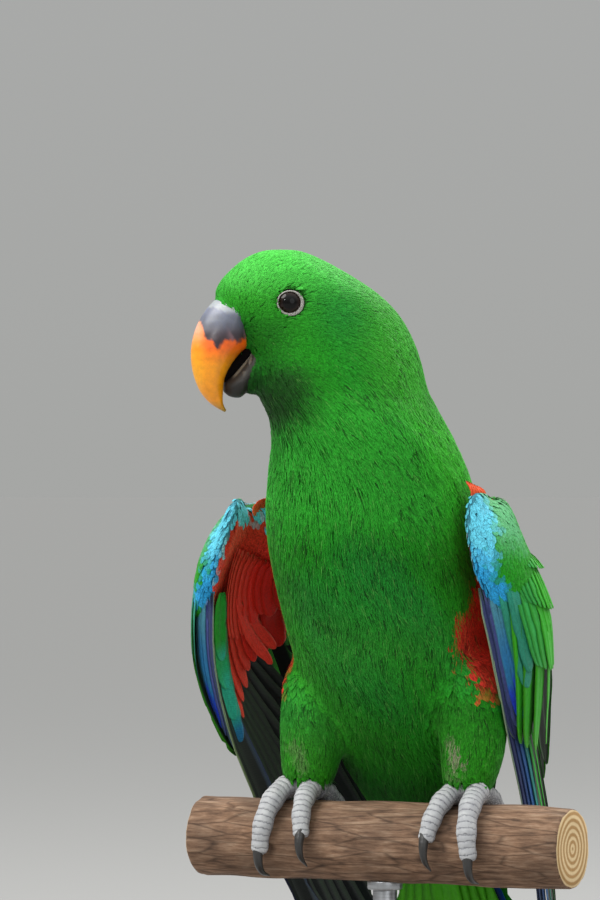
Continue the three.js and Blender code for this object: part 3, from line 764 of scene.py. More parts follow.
def surface_of(piece, rounds):
    """A piece's surface to grow feathers on: its points, triangles, search tree and softened normals."""
    points = points_of(piece)
    piece.data.calc_loop_triangles()
    triangles = np.empty(3 * len(piece.data.loop_triangles), int)
    piece.data.loop_triangles.foreach_get("vertices", triangles)
    triangles = triangles.reshape(-1, 3)
    ups = unit(even_out(vertices(piece, "normal"), triangles, len(points), rounds))
    tree = BVHTree.FromPolygons([Vector(p) for p in points], triangles.tolist())
    return {"points": points, "triangles": triangles, "tree": tree, "ups": ups}


def surface_samples(surface, per_mm2, seed):
    """Even random places over a surface: the triangle of each, and its share of the corners."""
    draw = np.random.default_rng(seed)
    a, b, c = (surface["points"][surface["triangles"][:, k]] for k in range(3))
    area = np.linalg.norm(np.cross(b - a, c - a), axis=1) / 2
    count = int(area.sum() * per_mm2)
    chosen = draw.choice(len(area), count, p=area / area.sum())
    u, v = draw.random((2, count))
    flip = u + v > 1
    u[flip], v[flip] = 1 - u[flip], 1 - v[flip]
    return chosen, np.stack([1 - u - v, u, v], axis=-1)


def at_samples(surface, values, samples):
    """Values of the surface's points, at samples."""
    chosen, shares = samples
    return np.einsum("ij,ij...->i...", shares, values[surface["triangles"][chosen]])


def thinned(spots, spacing):
    """The places that stay when none may be nearer another than the spacing."""
    tree = search_tree(spots)
    alive = np.ones(len(spots), bool)
    kept = []
    for i in range(len(spots)):
        if not alive[i]:
            continue
        kept.append(i)
        for _, j, _ in tree.find_range(spots[i], spacing[i]):
            alive[j] = False
    return np.array(kept)


def walk(surface, roots, lies, lengths, along):
    """Lays each feather's line over the surface, and gives its places, normals and directions."""
    count = len(roots)
    places, ways = (np.empty((count, len(along), 3)) for _ in range(2))
    faces = np.empty((count, len(along)), int)
    find = surface["tree"].find_nearest
    for i in range(count):
        at, way, before = Vector(roots[i]), Vector(lies[i]), 0
        at, up, face, _ = find(at)
        for k, share in enumerate(along):
            ahead = at + way * ((share - before) * lengths[i])
            near, near_up, near_face, _ = find(ahead)
            before = share
            # Past a thin edge a feather goes straight on, and doesn't wrap round to the far side
            if up.dot(near_up) < 0.35:
                at = ahead
            else:
                at, face = near, near_face
                up = (up + near_up).normalized()
            way = (way - up * way.dot(up)).normalized()
            places[i, k], ways[i, k], faces[i, k] = at, way, face
    ups = unit(surface["ups"][surface["triangles"][faces]].mean(axis=2))
    ways = unit(ways - ups * np.sum(ways * ups, axis=-1, keepdims=True))
    return places, ups, ways


def feathers(surface, roots, lies, look, form, colours, unwrap, seed):
    """A coat piece: feathers on roots over a surface. look gives length, width, depth and shade."""
    draw = np.random.default_rng(seed)
    count, along = len(roots), form["along"]
    places, ups, ways = walk(surface, roots, lies, look["length"], along)
    sides = unit(np.cross(ways, ups))
    uneven = 1 + draw.uniform(-1, 1, count) * form["uneven"]
    rise = np.array(form["rise"])[None, :] * (look["depth"] * uneven)[:, None]
    middle = places + ups * rise[..., None]
    last = len(along) - 1
    half = np.array(form["width"])[None, :] * look["width"][:, None]
    ups_, sides_, middle_ = ups[:, :last], sides[:, :last], middle[:, :last]
    left, right = middle_ - sides_ * half[..., None], middle_ + sides_ * half[..., None]
    top = middle_ + ups_ * (form["ridge"] * half)[..., None]
    lean = form["turn"] * sides_
    rows = np.stack([left, top, right], axis=2), np.stack([ups_ - lean, ups_, ups_ + lean], axis=2)
    points, facing = (
        np.concatenate([three.reshape(count, -1, 3), tip], axis=1)
        for three, tip in zip(rows, (middle[:, last:], ups[:, last:]))
    )
    loops, sizes, upper = feather_faces(last)
    all_loops = (loops[None, :] + (3 * last + 1) * np.arange(count)[:, None]).ravel()
    shares = np.r_[np.repeat(along[:last], 3), 1][None, :]
    across = np.stack([-half, 0 * half, half], axis=2).reshape(count, -1)
    across = np.concatenate([across, np.zeros((count, 1))], axis=1)
    pick = draw.uniform(0, 40, count)[:, None]
    vane = np.stack([across, shares * look["length"][:, None] + pick, shares + pick], axis=-1)
    shade = mix(look["root_shade"][:, None], 1, shares**0.7)
    tint = colours[:, None, :] * (shade * look["tone"][:, None])[..., None]
    aside = across / np.maximum(look["width"], 0.1)[:, None]
    patch = np.stack([aside * PATCH_WIDE, shares * PATCH_LONG + 0 * across], axis=-1)
    uv = (unwrap[:, None, :] + patch).reshape(-1, 2)[all_loops]
    points, tint, vane = (values.reshape(-1, 3) for values in (points, tint, vane))
    piece = array_piece(points, all_loops, np.tile(sizes, count), tint, vane, uv)
    # A coat's light and shade follow the body under it, not each feather's own faces
    corners = unit(facing)[:, loops] * np.where(upper, 1, -1)[None, :, None]
    piece.data.normals_split_custom_set(corners.reshape(-1, 3))
    return piece


def body_lie(points, ups, seed):
    """The way the coat lies: back from the bill over the head, then down the body and the legs."""
    draw = np.random.default_rng(seed)
    from_bill = points - in_head(*BILL_ROOT)
    away = unit(from_bill)
    _, _, down = axis_at(points[..., 2])
    head = smooth(-np.linalg.norm(from_bill, axis=1), -78, -40)[:, None]
    way = head * away * 1.6 + (1 - head) * down + 0.25 * down
    # Over the shoulders the feathers spread outwards
    spread = smooth(points[..., 2], 80, 105) * smooth(-points[..., 2], -150, -120)
    way[:, 0] += 0.45 * spread * np.sign(points[..., 0]) * np.clip(np.abs(points[..., 0]) / 30, 0, 1)
    legs, _ = leg_reach(points)
    under_hip = smooth(-points[..., 2], -LEG_AXIS["top"], -LEG_AXIS["top"] + 14)
    on_leg = (smooth(-legs, -2, 1) * under_hip)[:, None]
    way = way * (1 - on_leg) + on_leg * np.array([0, 0, -1.0])
    way = way - ups * np.sum(way * ups, axis=1, keepdims=True)
    way = unit(way)
    turn = draw.normal(0, 1, len(points)) * mix(0.16, 0.08, head[:, 0])
    turn = turn + 0.2 * ripple(points, 14, 33) * (1 - head[:, 0])
    return unit(way + np.cross(ups, way) * np.tan(turn)[:, None])


def body_unwrap(points):
    """The skin's own unwrap: the way round the body and the height."""
    turn = round_body(points) / 360 + 0.5
    high = (points[..., 2] + 40) / 250
    return np.stack([0.01 + 0.98 * np.clip(turn, 0, 1), 0.01 + 0.98 * np.clip(high, 0, 1)], axis=-1)


# Each region of the coat, by the look of its feathers: spacing, length and half width; then the
# locks of barbs over them: how many on a square millimetre, their length, half width and contrast, how
# strong their painted shade and highlights are.
COAT = named_rows(
    "spacing length half locks lock fine contrast",
    face=(0.9, 3.2, 0.8, 1.6, 2.4, 0.16, 0.08),
    crown=(1.15, 5.0, 1.15, 1.5, 3.8, 0.18, 0.1),
    neck=(1.7, 8.5, 1.8, 1.6, 7, 0.2, 0.75),
    breast=(2.1, 11, 2.3, 1.5, 8.5, 0.22, 1),
    back=(2.4, 13, 3.2, 0.9, 8, 0.24, 0.5),
    belly=(2.1, 12, 2.4, 1.3, 9, 0.23, 0.9),
    legs=(1.7, 8, 1.8, 1.3, 6.5, 0.22, 0.7),
)
# How many places on a square millimetre are tried for feathers and for locks
TRIED = {"feathers": 3.2, "locks": 1.7}


def region_of(points):
    """The coat's region at each place, by its number in COAT."""
    _, f, h = head_places(points)
    z = points[..., 2]
    turned = np.abs(round_body(points))
    legs, _ = leg_reach(points)
    on_head = h > np.where(f < -10, -16 + (-10 - f) * 0.2, -24)
    regions = list(COAT)
    number = np.full(len(points), regions.index("breast"))
    for name, here in (
        ("belly", z < 58),
        ("back", (turned > 105) & (z < 120)),
        ("neck", z > 118),
        ("crown", on_head & (z > HEAD_LEVEL)),
        ("face", on_head & (f > -2) & (h < 16)),
        ("legs", (legs < 1.5) & (z < 46) & (turned < 150)),
    ):
        number[here] = regions.index(name)
    return number


def short_of_bare(place, lie, length):
    """Feathers' lengths, cut so that none stands off the bill or reaches over a lid's ring."""
    length = length.copy()
    bill = (past_cover(place + lie * length[:, None]) > 0.4) & (place[:, 2] > HEAD_LEVEL)
    length[bill] *= 0.3
    past, reached = past_lids(place)[0], past_lids(place + lie * length[:, None])[0]
    over = reached < LID_MARGIN
    length[over] *= np.clip((past - LID_MARGIN) / (past - reached), 0.2, 1)[over]
    return length


def make_coat(skin):
    """The body's feathers and the locks over them, region by region, with sizes that change softly."""
    surface = surface_of(skin, 10)
    points, triangles = surface["points"], surface["triangles"]
    region = region_of(points)
    keys = list(COAT["face"])
    table = np.array([[values[key] for key in keys] for values in COAT.values()])
    fields = even_out(table[region], triangles, len(points), 110)
    depths = coat_depth(points)
    made = []
    for layer, form in (("feathers", CONTOUR), ("locks", LOCK)):
        fine = layer == "locks"
        samples = surface_samples(surface, TRIED[layer], 11 + fine)
        draw = np.random.default_rng(40 + fine)
        values = dict(zip(keys, at_samples(surface, fields, samples).T))
        spots = at_samples(surface, points, samples)
        ups = unit(at_samples(surface, surface["ups"], samples))
        if fine:
            kept = np.flatnonzero(draw.random(len(spots)) < values["locks"] / TRIED[layer])
        else:
            kept = thinned(spots, values["spacing"] * 0.92)
        kept = kept[clear_places(spots[kept])]
        numbers = region[triangles[samples[0][kept], 0]]
        for number, name in enumerate(COAT):
            here = kept[numbers == number]
            count, place, contrast = len(here), spots[here], values["contrast"][here]
            length = values["lock" if fine else "length"][here] * draw.uniform(0.85, 1.15, count)
            ankle = 1 - 0.45 * smooth(-place[:, 2], -24, -8) * smooth(-leg_reach(place)[0], -4, 0)
            lie = body_lie(place, ups[here], 200 + number + 50 * fine)
            length = short_of_bare(place, lie, length * ankle)
            tone = draw.uniform(1 - 0.05 * (1 + contrast), 1 + 0.05 * (1 + contrast), count)
            pale = np.zeros(count)
            root_shade = mix(0.92, 0.5, contrast)
            if fine:
                root_shade = mix(0.9, 0.68, np.minimum(1, 2 * contrast))
                # Here and there a lock is darkened as painted shade where the coat parts, and another
                # lightened as a painted highlight where it catches the light
                chance = draw.random(count)
                clump = 0.5 + 0.5 * ripple(place, 5, 55)
                dark = draw.uniform(0.2, 0.6, count)
                tone = np.where(chance < 0.26 * contrast * clump, tone * dark, tone)
                pale = np.where(chance > 1 - 0.09 * contrast, draw.uniform(0.1, 0.4, count), 0)
            look = {
                "length": length,
                "width": values["fine" if fine else "half"][here] * draw.uniform(0.85, 1.15, count) * ankle,
                "depth": at_samples(surface, depths, (samples[0][here], samples[1][here])),
                "root_shade": root_shade,
                "tone": tone,
            }
            colours = blend(plumage(place + draw.normal(0, 0.9, (count, 3))), (HIGHLIGHT_STROKE, pale))
            made.append((f"coat_{name}_{layer}", feathers(
                surface, place, lie, look, form, colours, body_unwrap(place), 300 + number + 50 * fine,
            )))
    return made


# Wings and tail

def wing_place(hand):
    """The place on or off one wing's sheet."""
    held, side = WING_HELD[hand], SIDES[hand]
    edge = curve_through(WING_LEAD)
    shares = np.linspace(0, 1, len(edge))
    tangents = unit(np.gradient(edge, axis=0))
    turns = {key: [row[key] for row in WING_TURNS] for key in WING_TURNS[0]}

    def place(p, q, w):
        p, q, w = np.broadcast_arrays(np.asarray(p, float), np.asarray(q, float), np.asarray(w, float))
        share = np.clip(p / WING_LENGTH, 0, 1)
        at = np.stack([np.interp(share, shares, edge[:, k]) for k in range(3)], axis=-1)
        along = unit(np.stack([np.interp(share, shares, tangents[:, k]) for k in range(3)], axis=-1))
        out = unit(np.array([1.0, 0, 0]) - along * along[..., :1])
        behind = unit(np.cross(out, along))
        bow = held["wrist"] * (1 - share) + held["bow"] * np.sin(np.pi * share) ** 1.5
        lead = np.radians(np.interp(p, turns["p"], turns["lead"]))
        back = np.radians(np.interp(p, turns["p"], turns["back"]))
        curl = np.interp(p, turns["p"], turns["curl"])
        bend = (back - lead) / curl
        turned = lead + bend * np.clip(q, 0, curl)
        straight = np.where(q < 0, q, np.maximum(0, q - curl))
        x = (np.cos(lead) - np.cos(turned)) / bend + straight * np.sin(turned)
        y = (np.sin(turned) - np.sin(lead)) / bend + straight * np.cos(turned)
        at = at + along * (p - share * WING_LENGTH)[..., None]
        at = at + out * (x + w * np.cos(turned) + bow)[..., None]
        at = at + behind * (y - w * np.sin(turned))[..., None]
        return at * (side, 1, 1) - (0, 0, held["drop"])

    return place


def tail_place(p, q, w):
    p, q, w = np.broadcast_arrays(np.asarray(p, float), np.asarray(q, float), np.asarray(w, float))
    a = math.radians(TAIL["slope"])
    y = TAIL["y"] + p * math.sin(a) + w * math.cos(a)
    return np.stack([q, y, TAIL["z"] - p * math.cos(a) + w * math.sin(a)], axis=-1)


# Outlines of a vane: the half width as a share of its widest, at shares of the way along
OUTLINES = {
    "flight": [
        (0, 0.3), (0.08, 0.75), (0.3, 0.95), (0.6, 1), (0.85, 0.82), (0.94, 0.58), (0.985, 0.3), (1, 0.05),
    ],
    "covert": [(0, 0.4), (0.15, 0.8), (0.5, 1), (0.8, 0.9), (0.93, 0.62), (0.985, 0.3), (1, 0.05)],
}
VANE_THICK = 0.32
SHAFT_HALF = 0.05  # a shaft's half width, as a share of its vane's
RIDGE = 0.3  # how far a shaft stands up from its vane
VANE_ROWS = {"flight": 26, "covert": 14}  # points along a vane


def vane(place, feather, lift, tilt, outline, rachis, draw):
    """One feather's vane on a sheet: its top and under points, with how far they are across and along."""
    length = math.hypot(feather["toP"] - feather["p"], feather["toQ"] - feather["q"])
    way = np.array([feather["toP"] - feather["p"], feather["toQ"] - feather["q"]]) / length
    rows = VANE_ROWS[outline]
    t = np.sin(np.linspace(0, 1, rows) * math.pi / 2) ** 0.9
    shaft = rachis - SHAFT_HALF, rachis, rachis + SHAFT_HALF
    c = np.array([-1, mix(-1, rachis, 0.5), *shaft, mix(rachis, 1, 0.33), mix(rachis, 1, 0.66), 1])
    shares, widths = zip(*OUTLINES[outline])
    wide = np.interp(t, shares, widths)
    edge = np.repeat(wide[:, None], len(c), axis=1)
    # Where barbs have parted, the edge is nicked
    for column, chance in ((0, 0.07), (len(c) - 1, 0.12)):
        nick = (draw.random(rows) < chance) & (t > 0.3) & (t < 0.93)
        edge[nick, column] *= draw.uniform(0.72, 0.9, nick.sum())
    across = feather["half"] * edge * c[None, :]
    from_shaft = feather["half"] * edge * (c - rachis)[None, :]
    height = lift(t)[:, None] + tilt * across + 0.25 * (1 - c[None, :] ** 2)
    height = height + draw.uniform(-0.05, 0.05) * feather["half"] * t[:, None] ** 2
    ridge = np.where(np.arange(len(c)) == 3, RIDGE, 0)[None, :] * (1 - 0.6 * t[:, None])
    p = feather["p"] + way[0] * length * t[:, None] - way[1] * across
    q = feather["q"] + way[1] * length * t[:, None] + way[0] * across
    top = place(p, q, height + VANE_THICK / 2 + ridge)
    under = place(p, q, height - VANE_THICK / 2 - 0.5 * ridge)
    return top, under, from_shaft, t * length, t, c


def vanes_piece(vanes, flip):
    """One mesh of closed vanes. Each comes with a colour for each point of its top and underside."""
    points, loops, sizes, colours, marks, uvs = [], [], [], [], [], []
    columns = math.ceil(math.sqrt(len(vanes) * 2.2))
    lines = math.ceil(len(vanes) / columns)
    offset = 0
    for number, (top, under, across, along, t, c, top_colour, under_colour) in enumerate(vanes):
        rows, cols = top.shape[:2]
        grid = np.arange(rows * cols).reshape(rows, cols)
        rim = np.zeros((rows, cols), bool)
        rim[[0, -1]] = True
        rim[:, [0, -1]] = True
        lower = np.where(rim, grid, 0)
        lower[~rim] = rows * cols + np.arange((~rim).sum())
        points += [top.reshape(-1, 3), under[~rim]]
        colours += [top_colour.reshape(-1, 3), under_colour[~rim]]
        start = 7.3 * number
        grown = np.stack(np.broadcast_arrays(across, along[:, None] + start, t[:, None] + start), axis=-1)
        marks += [grown.reshape(-1, 3), grown[~rim]]
        cell = np.array([number % columns / columns, number // columns / lines])
        for half, index in enumerate((grid, lower)):
            a, b, d, e = index[:-1, :-1], index[1:, :-1], index[1:, 1:], index[:-1, 1:]
            quads = np.stack([a, b, d, e], axis=-1)
            u = cell[0] + (0.02 + half * 0.49 + 0.46 * (c + 1) / 2) / columns
            v = cell[1] + (0.02 + 0.96 * t) / lines
            place = np.stack(np.broadcast_arrays(u[None, :], v[:, None]), axis=-1)
            corner = np.stack([place[:-1, :-1], place[1:, :-1], place[1:, 1:], place[:-1, 1:]], axis=-2)
            if bool(half) != flip:
                quads, corner = quads[..., ::-1], corner[..., ::-1, :]
            loops.append(offset + quads.reshape(-1))
            uvs.append(corner.reshape(-1, 2))
            sizes.append(np.full(quads.shape[0] * quads.shape[1], 4))
        offset += rows * cols + int((~rim).sum())
    return array_piece(*map(np.concatenate, (points, loops, sizes, colours, marks, uvs)))


def vane_rows(*rows):
    """Feathers from the front one back, each from p, q to toP, toQ at heights w and toW."""
    return rows_of("p q toP toQ half w toW tilt", *rows)


# The tiers of a wing, filled in evenly between their rows. Some rows also give the feather's tilt, its
# slope from front edge to back; bulge is the bow outward.
WING_TIERS = {
    "primaries": {
        "steps": 3, "outline": "flight", "rachis": -0.5,
        "rows": vane_rows(
            (48, 2, 226, 6, 6, -2, -0.5),
            (54, 7, 241, 19, 7.2, -1.8, -0.3),
            (56, 12, 198, 35, 7, -1.2, 0.3),
            (52, 18, 154, 50, 7, -0.6, 0.8),
        ),
    },
    "secondaries": {
        "steps": 2, "outline": "flight", "rachis": -0.25, "bulge": 1.8, "slope": 0.1,
        "rows": vane_rows(
            (34, 8, 103, 3, 5.4, 6.6, 1.5),
            (38, 19, 111, 9, 6.4, 7.6, 3.6),
            (46, 34, 124, 31, 7, 7.2, 4.6),
            (52, 47, 146, 50, 7, 6.4, 4.4),
            (52, 60, 138, 68, 6.5, 6, 4),
        ),
    },
    "greater_coverts": {
        "steps": 4, "outline": "covert", "rachis": -0.15, "bulge": 1, "slope": 0.08,
        "rows": vane_rows(
            (24, 10, 70, 10, 4, 5, 8.4),
            (26, 22, 81, 21, 4.4, 6, 8.6),
            (30, 40, 88, 41, 4.8, 6, 7.4),
            (32, 60, 90, 66, 5, 4, 5.6),
        ),
    },
    "median_coverts": {
        "steps": 6, "outline": "covert", "rachis": -0.1, "bulge": 0.6, "slope": 0.08,
        "rows": vane_rows(
            (14, 10, 44, 11, 3, 4, 8.2),
            (16, 24, 55, 24, 3.6, 5, 9),
            (20, 42, 62, 44, 4, 5, 8),
            (22, 60, 64, 64, 4.2, 3, 6),
        ),
    },
    "small_coverts": {
        "steps": 7, "outline": "covert", "rachis": 0, "bulge": 0.4, "slope": 0.08,
        "rows": vane_rows(
            (6, 12, 30, 13, 2.4, 2.5, 8.4),
            (8, 26, 37, 26, 2.8, 3.5, 9.7),
            (10, 42, 42, 43, 3.2, 3.5, 9.2),
            (12, 60, 44, 62, 3.4, 1.5, 6.6),
        ),
    },
    "outer_lead": {
        "steps": 1, "outline": "covert", "rachis": -0.4,
        "rows": vane_rows(
            (30, 4, 76, 4.5, 3.8, 6.2, 7, 0.2),
            (31, 6, 70, 6, 3.4, 7.2, 7.8, 0.1),
        ),
    },
    "middle_lead": {
        "steps": 1, "outline": "covert", "rachis": -0.3,
        "rows": vane_rows(
            (31, 1.2, 91, 2.6, 2.3, 3.4, 3.4, 0.9),
            (32, 2.8, 84, 3.8, 2.4, 4.8, 4.8, 0.7),
        ),
    },
    "front_lead": {
        "steps": 1, "outline": "covert", "rachis": -0.4,
        "rows": vane_rows(
            (33, -1.4, 99, 0.6, 2.1, 0.2, 0.6, 1),
            (36, 0.4, 94, 1.6, 2.1, 1.9, 2.1, 0.9),
        ),
    },
    "alula": {
        "steps": 2, "outline": "covert", "rachis": -0.3,
        "rows": vane_rows(
            (22, 1, 37, 1, 2.2, 4, 4.2, 0.5),
            (20, 4.4, 37, 5, 2.4, 5.6, 6, 0.1),
        ),
    },
    "under_lead": {
        "steps": 1, "outline": "covert", "rachis": -0.2, "below": True,
        "rows": vane_rows(
            (46, 3, 99, 3, 3, -2.8, -2.4, -0.9),
            (42, 2.4, 88, 2.6, 3.2, -3, -3, -0.9),
            (38, 2.2, 74, 2.4, 3.2, -3.4, -3.6, -0.85),
            (34, 2, 62, 2.2, 3, -3.6, -4, -0.8),
        ),
    },
    "under_coverts": {
        "steps": 2, "outline": "covert", "rachis": 0.05, "below": True,
        "rows": vane_rows(
            (34, 10, 90, 8.5, 4.4, -3, -4),
            (34, 17, 84, 17, 4.6, -3.6, -4.6),
            (36, 25, 74, 26, 5, -4, -5),
            (38, 37, 72, 40, 5.6, -4.4, -5.4),
            (42, 52, 78, 59, 6, -4.6, -5.6),
        ),
    },
    "loose_covert": {
        "steps": 1, "outline": "covert", "rachis": 0.05, "below": True,
        "rows": vane_rows(
            (40, 17, 79, 32, 3.6, -5.6, -8),
            (42, 22, 74, 37, 3.4, -5, -6.6),
        ),
    },
    "under_linings": {
        "steps": 4, "outline": "covert", "rachis": 0.05, "below": True,
        "rows": vane_rows(
            (16, 7, 56, 9, 4.2, -4.4, -5.2),
            (18, 20, 60, 22, 4.6, -5, -5.8),
            (22, 34, 56, 38, 5, -5.2, -6),
            (26, 54, 60, 60, 5, -5, -6),
        ),
    },
}
# A few loose orange feathers stand up where each wing joins the shoulder
SHOULDER_TUFTS = {
    "left": vane_rows((-7.5, 4, 0, 4, 1.3, -1.5, -0.5), (-5, 9.5, 0, 10.5, 1.3, -2.5, -1.5)),
    "right": vane_rows((-3.5, 19, 3, 17, 1.3, -2, -1), (-5.5, 25, 4, 24, 1.4, -2, -1)),
}


def wing_colours(tier, t, c, at, under):
    """The colours of one feather of a tier; at is 0 for the tier's front feather and 1 for its last."""
    t, c = np.broadcast_arrays(t[:, None], c[None, :])
    at = at + 0 * t
    if tier == "shoulder_tuft":
        return blend(ORANGE_RED, (RED, 0.5 * (1 - t) + 0.3 * np.abs(c)))
    if tier == "loose_covert":
        return blend(RED_BRIGHT, (RED, 0.3 * (1 - t)))
    if tier in ("under_coverts", "under_linings"):
        # Painted light and shade: the front feathers lighter, the rear ones and the roots darker in the
        # body's shade
        dark = 0.5 * smooth(at, 0.55, 0.85) + 0.12 * (1 - t)
        return blend(RED, (RED_BRIGHT, 0.9 * smooth(-at, -0.55, -0.3)), (RED_IN_SHADE, dark))
    if tier == "under_lead":
        return blend(
            linear("#34bfa4"),
            (linear("#3cae84"), 0.6 * (1 - t)),
            (GREEN, 0.9 * smooth(at, 0.3, 0.9) * smooth(-t, -0.97, -0.7)),
            (linear("#2c7fb4"), smooth(-at, -0.2, -0.05) * smooth(t, 0.75, 0.92)),
            (GREEN_LIGHT, 0.35 * smooth(-c, 0, 0.8) * smooth(at, 0.2, 0.6)),
        )
    if under:
        return blend(BLACK, (linear("#26282e"), 0.4 * t))
    if tier == "primaries":
        edge = smooth(-c, 0.84, 0.94) * smooth(-at, -0.08, -0.02) * smooth(-t, -0.55, -0.4)
        return blend(
            SLATE,
            (BLUE_MID, 0.6 * smooth(at, 0.08, 0.4)),
            (GREEN, smooth(at, 0.3, 0.6)),
            (BLACK, smooth(t, 0.5, 0.85) * 0.8),
            (CREAM_GREEN, edge),
            (BLACK, smooth(c, -0.45, -0.3) * smooth(at, 0.02, 0.08)),
        )
    if tier == "secondaries":
        return blend(
            GREEN,
            (GREEN_LIGHT, 0.3 + 0.3 * t),
            (GREEN_YELLOW, 0.5 * smooth(-c, 0.7, 0.95) + 0.4 * smooth(t, 0.8, 1)),
            (GREEN_DEEP, 0.25 * smooth(c, 0.5, 0.95)),
            (BLACK, smooth(c, 0, 0.4) * smooth(at, 0.92, 0.98)),
        )
    if tier == "outer_lead":
        return blend(linear("#2f8f74"), (TEAL, 0.5 * smooth(-t, -0.35, -0.05)))
    if tier == "middle_lead":
        return blend(
            linear("#4c8ea4"), (linear("#2e7cb4"), smooth(t, 0.2, 0.5)), (BLUE, smooth(t, 0.68, 0.8)),
        )
    if tier == "front_lead":
        edge = 0.8 * smooth(-c, 0.7, 0.85) * smooth(-at, -0.5, -0.1)
        return blend(SLATE, (linear("#4b5596"), 0.7 * smooth(at, 0.4, 0.9)), (CREAM_GREEN, edge))
    if tier == "alula":
        return blend(TURQUOISE, (SKY, 0.4 + 0.6 * t))
    return blend(
        GREEN,
        (GREEN_LIGHT, 0.45 * smooth(at, 0, 0.3) + 0.25 * t),
        (linear("#3fae6a"), 0.5 * smooth(-at, -0.3, -0.05)),
        (GREEN_YELLOW, 0.3 * smooth(np.abs(c), 0.65, 1)),
    )


def coloured(grown, colours, tier, share, draw):
    """A vane with its colours above and below, a little lighter or darker than its neighbours'."""
    *_, t, c = grown
    vary = draw.uniform(0.92, 1.08)
    return (*grown, colours(tier, t, c, share, False) * vary, colours(tier, t, c, share, True) * vary)


def make_flight(hand):
    """A wing's vanes, tier on tier."""
    place, draw = wing_place(hand), np.random.default_rng(61 + SIDES[hand])
    tuft = {"steps": 5, "outline": "covert", "rachis": 0, "bulge": 1.5, "rows": SHOULDER_TUFTS[hand]}
    vanes = []
    for tier, values in {**WING_TIERS, "shoulder_tuft": tuft}.items():
        row = fill(values["rows"], values["steps"])
        way = -1 if values.get("below") else 1
        slope = -values.get("slope", 0.2 if tier == "primaries" else 0.14) * way
        for i, feather in enumerate(row):
            near = row[i + 1] if i + 1 < len(row) else row[i - 1]
            if tier in ("under_coverts", "under_linings"):
                feather = {**feather, "toP": feather["toP"] + draw.normal(0, 2)}

            def lift(t):
                """The feather's height along it: each lies a little higher than the one before it."""
                pitch = np.abs(mix(near["q"] - feather["q"], near["toQ"] - feather["toQ"], t))
                rise = way * i * np.maximum(0, 0.5 - abs(slope) * pitch) if "tilt" not in feather else 0
                bulge = values.get("bulge", 0) * np.sin(math.pi * t)
                return mix(feather["w"], feather["toW"], t) + rise + bulge

            tilt = feather.get("tilt", slope)
            grown = vane(place, feather, lift, tilt, values["outline"], values["rachis"], draw)
            vanes.append(coloured(grown, wing_colours, tier, i / (len(row) - 1), draw))
    return vanes_piece(vanes, flip=hand == "right")


def make_pad(hand):
    """The flesh of a wing, two flat round pads fused into one."""
    place = wing_place(hand)

    def squared(values):
        return np.sign(values) * np.abs(values) ** 0.8

    parts = []
    for pad in (ARM_PAD, HAND_PAD):
        across, out, down = map(squared, egg(24, 40))
        flat = 1 - 0.45 * smooth(down, 0, 0.9)
        parts.append(ringed(place(
            pad["p"] + pad["long"] * down,
            pad["q"] + pad["wide"] * across,
            pad["w"] + (pad["thick"] - 1) * out * flat,
        )))
    return fuse(joined(parts), 1.2, 8)


# The grid of places on and off a wing's sheet that its flesh is looked up in, by p, q and w
SHEET_SPANS = ((-8, 84), (-10, 76), (-8, 16))
SHEET_STEP = 1.5


def sheet_guess(place, points):
    """p, q and w of points near a wing's sheet, from the nearest of a grid of its places."""
    spans = (np.arange(low, high, SHEET_STEP) for low, high in SHEET_SPANS)
    grid = np.meshgrid(*spans, indexing="ij")
    tree = search_tree(place(*grid).reshape(-1, 3))
    values = np.stack(grid, axis=-1).reshape(-1, 3)
    return np.array([values[tree.find(point)[1]] for point in points])


# How far back the turquoise goes along a wing's upper edge, and how much narrower it is down the bend
TURQUOISE_REACH = {"left": (5, 0), "right": (30, 1.8)}
# The turquoise's rear border, as q at each p down the wing
TURQUOISE_EDGE = [(0, 6), (8, 4.5), (15, 2.5), (19, 0.8), (26, 0), (29, 3), (35, 3), (40, -1)]


def lesser_colours(p, q, facing, top, narrow):
    """Colours of the small coverts: turquoise along the wing's bend, green above and red below.

    facing is 1 where the flesh faces straight out and -1 where it faces the body; top and narrow are a
    wing's own TURQUOISE_REACH.
    """
    above = blend(
        GREEN,
        (GREEN_LIGHT, 0.6 * smooth(q, 14, 36)),
        (linear("#6ac88a"), 0.8 * smooth(-q, -22, -12) * smooth(-p, -24, -8)),
    )
    # Below, painted light and shade: lighter red towards the front, darker towards the back by the body
    below = blend(RED, (RED_BRIGHT, 0.8 * smooth(-q, -34, -20)), (RED_IN_SHADE, 0.5 * smooth(q, 34, 50)))
    front = np.interp(p, *zip(*TURQUOISE_EDGE)) - narrow
    bend = smooth(front - q, -2.6, 0.8) * smooth(facing, -0.58, -0.54)
    rim = smooth(-p, -2.6, -2.2) * smooth(-q, -top - 0.3, 0.3 - top) * smooth(-facing, -0.32, -0.28)
    pale = smooth(facing, -0.65, -0.5) * smooth(-facing, 0.2, 0.35) * smooth(-q, 0, 1.5)
    pale = pale * smooth(-p, -30, -26) * smooth(p, 4, 7)
    return blend(
        above,
        (below, smooth(-facing, 0.17, 0.2)),
        (blend(TURQUOISE, (SKY, smooth(p, 12, 26))), np.maximum(bend, rim)),
        (linear("#d2efe6"), 0.5 * pale),
    )


# The small coverts: how many places on a square millimetre are tried, their spacing, length, half width
LESSER = {"tried": 3, "spacing": 1.3, "length": 7, "half": 1.6}


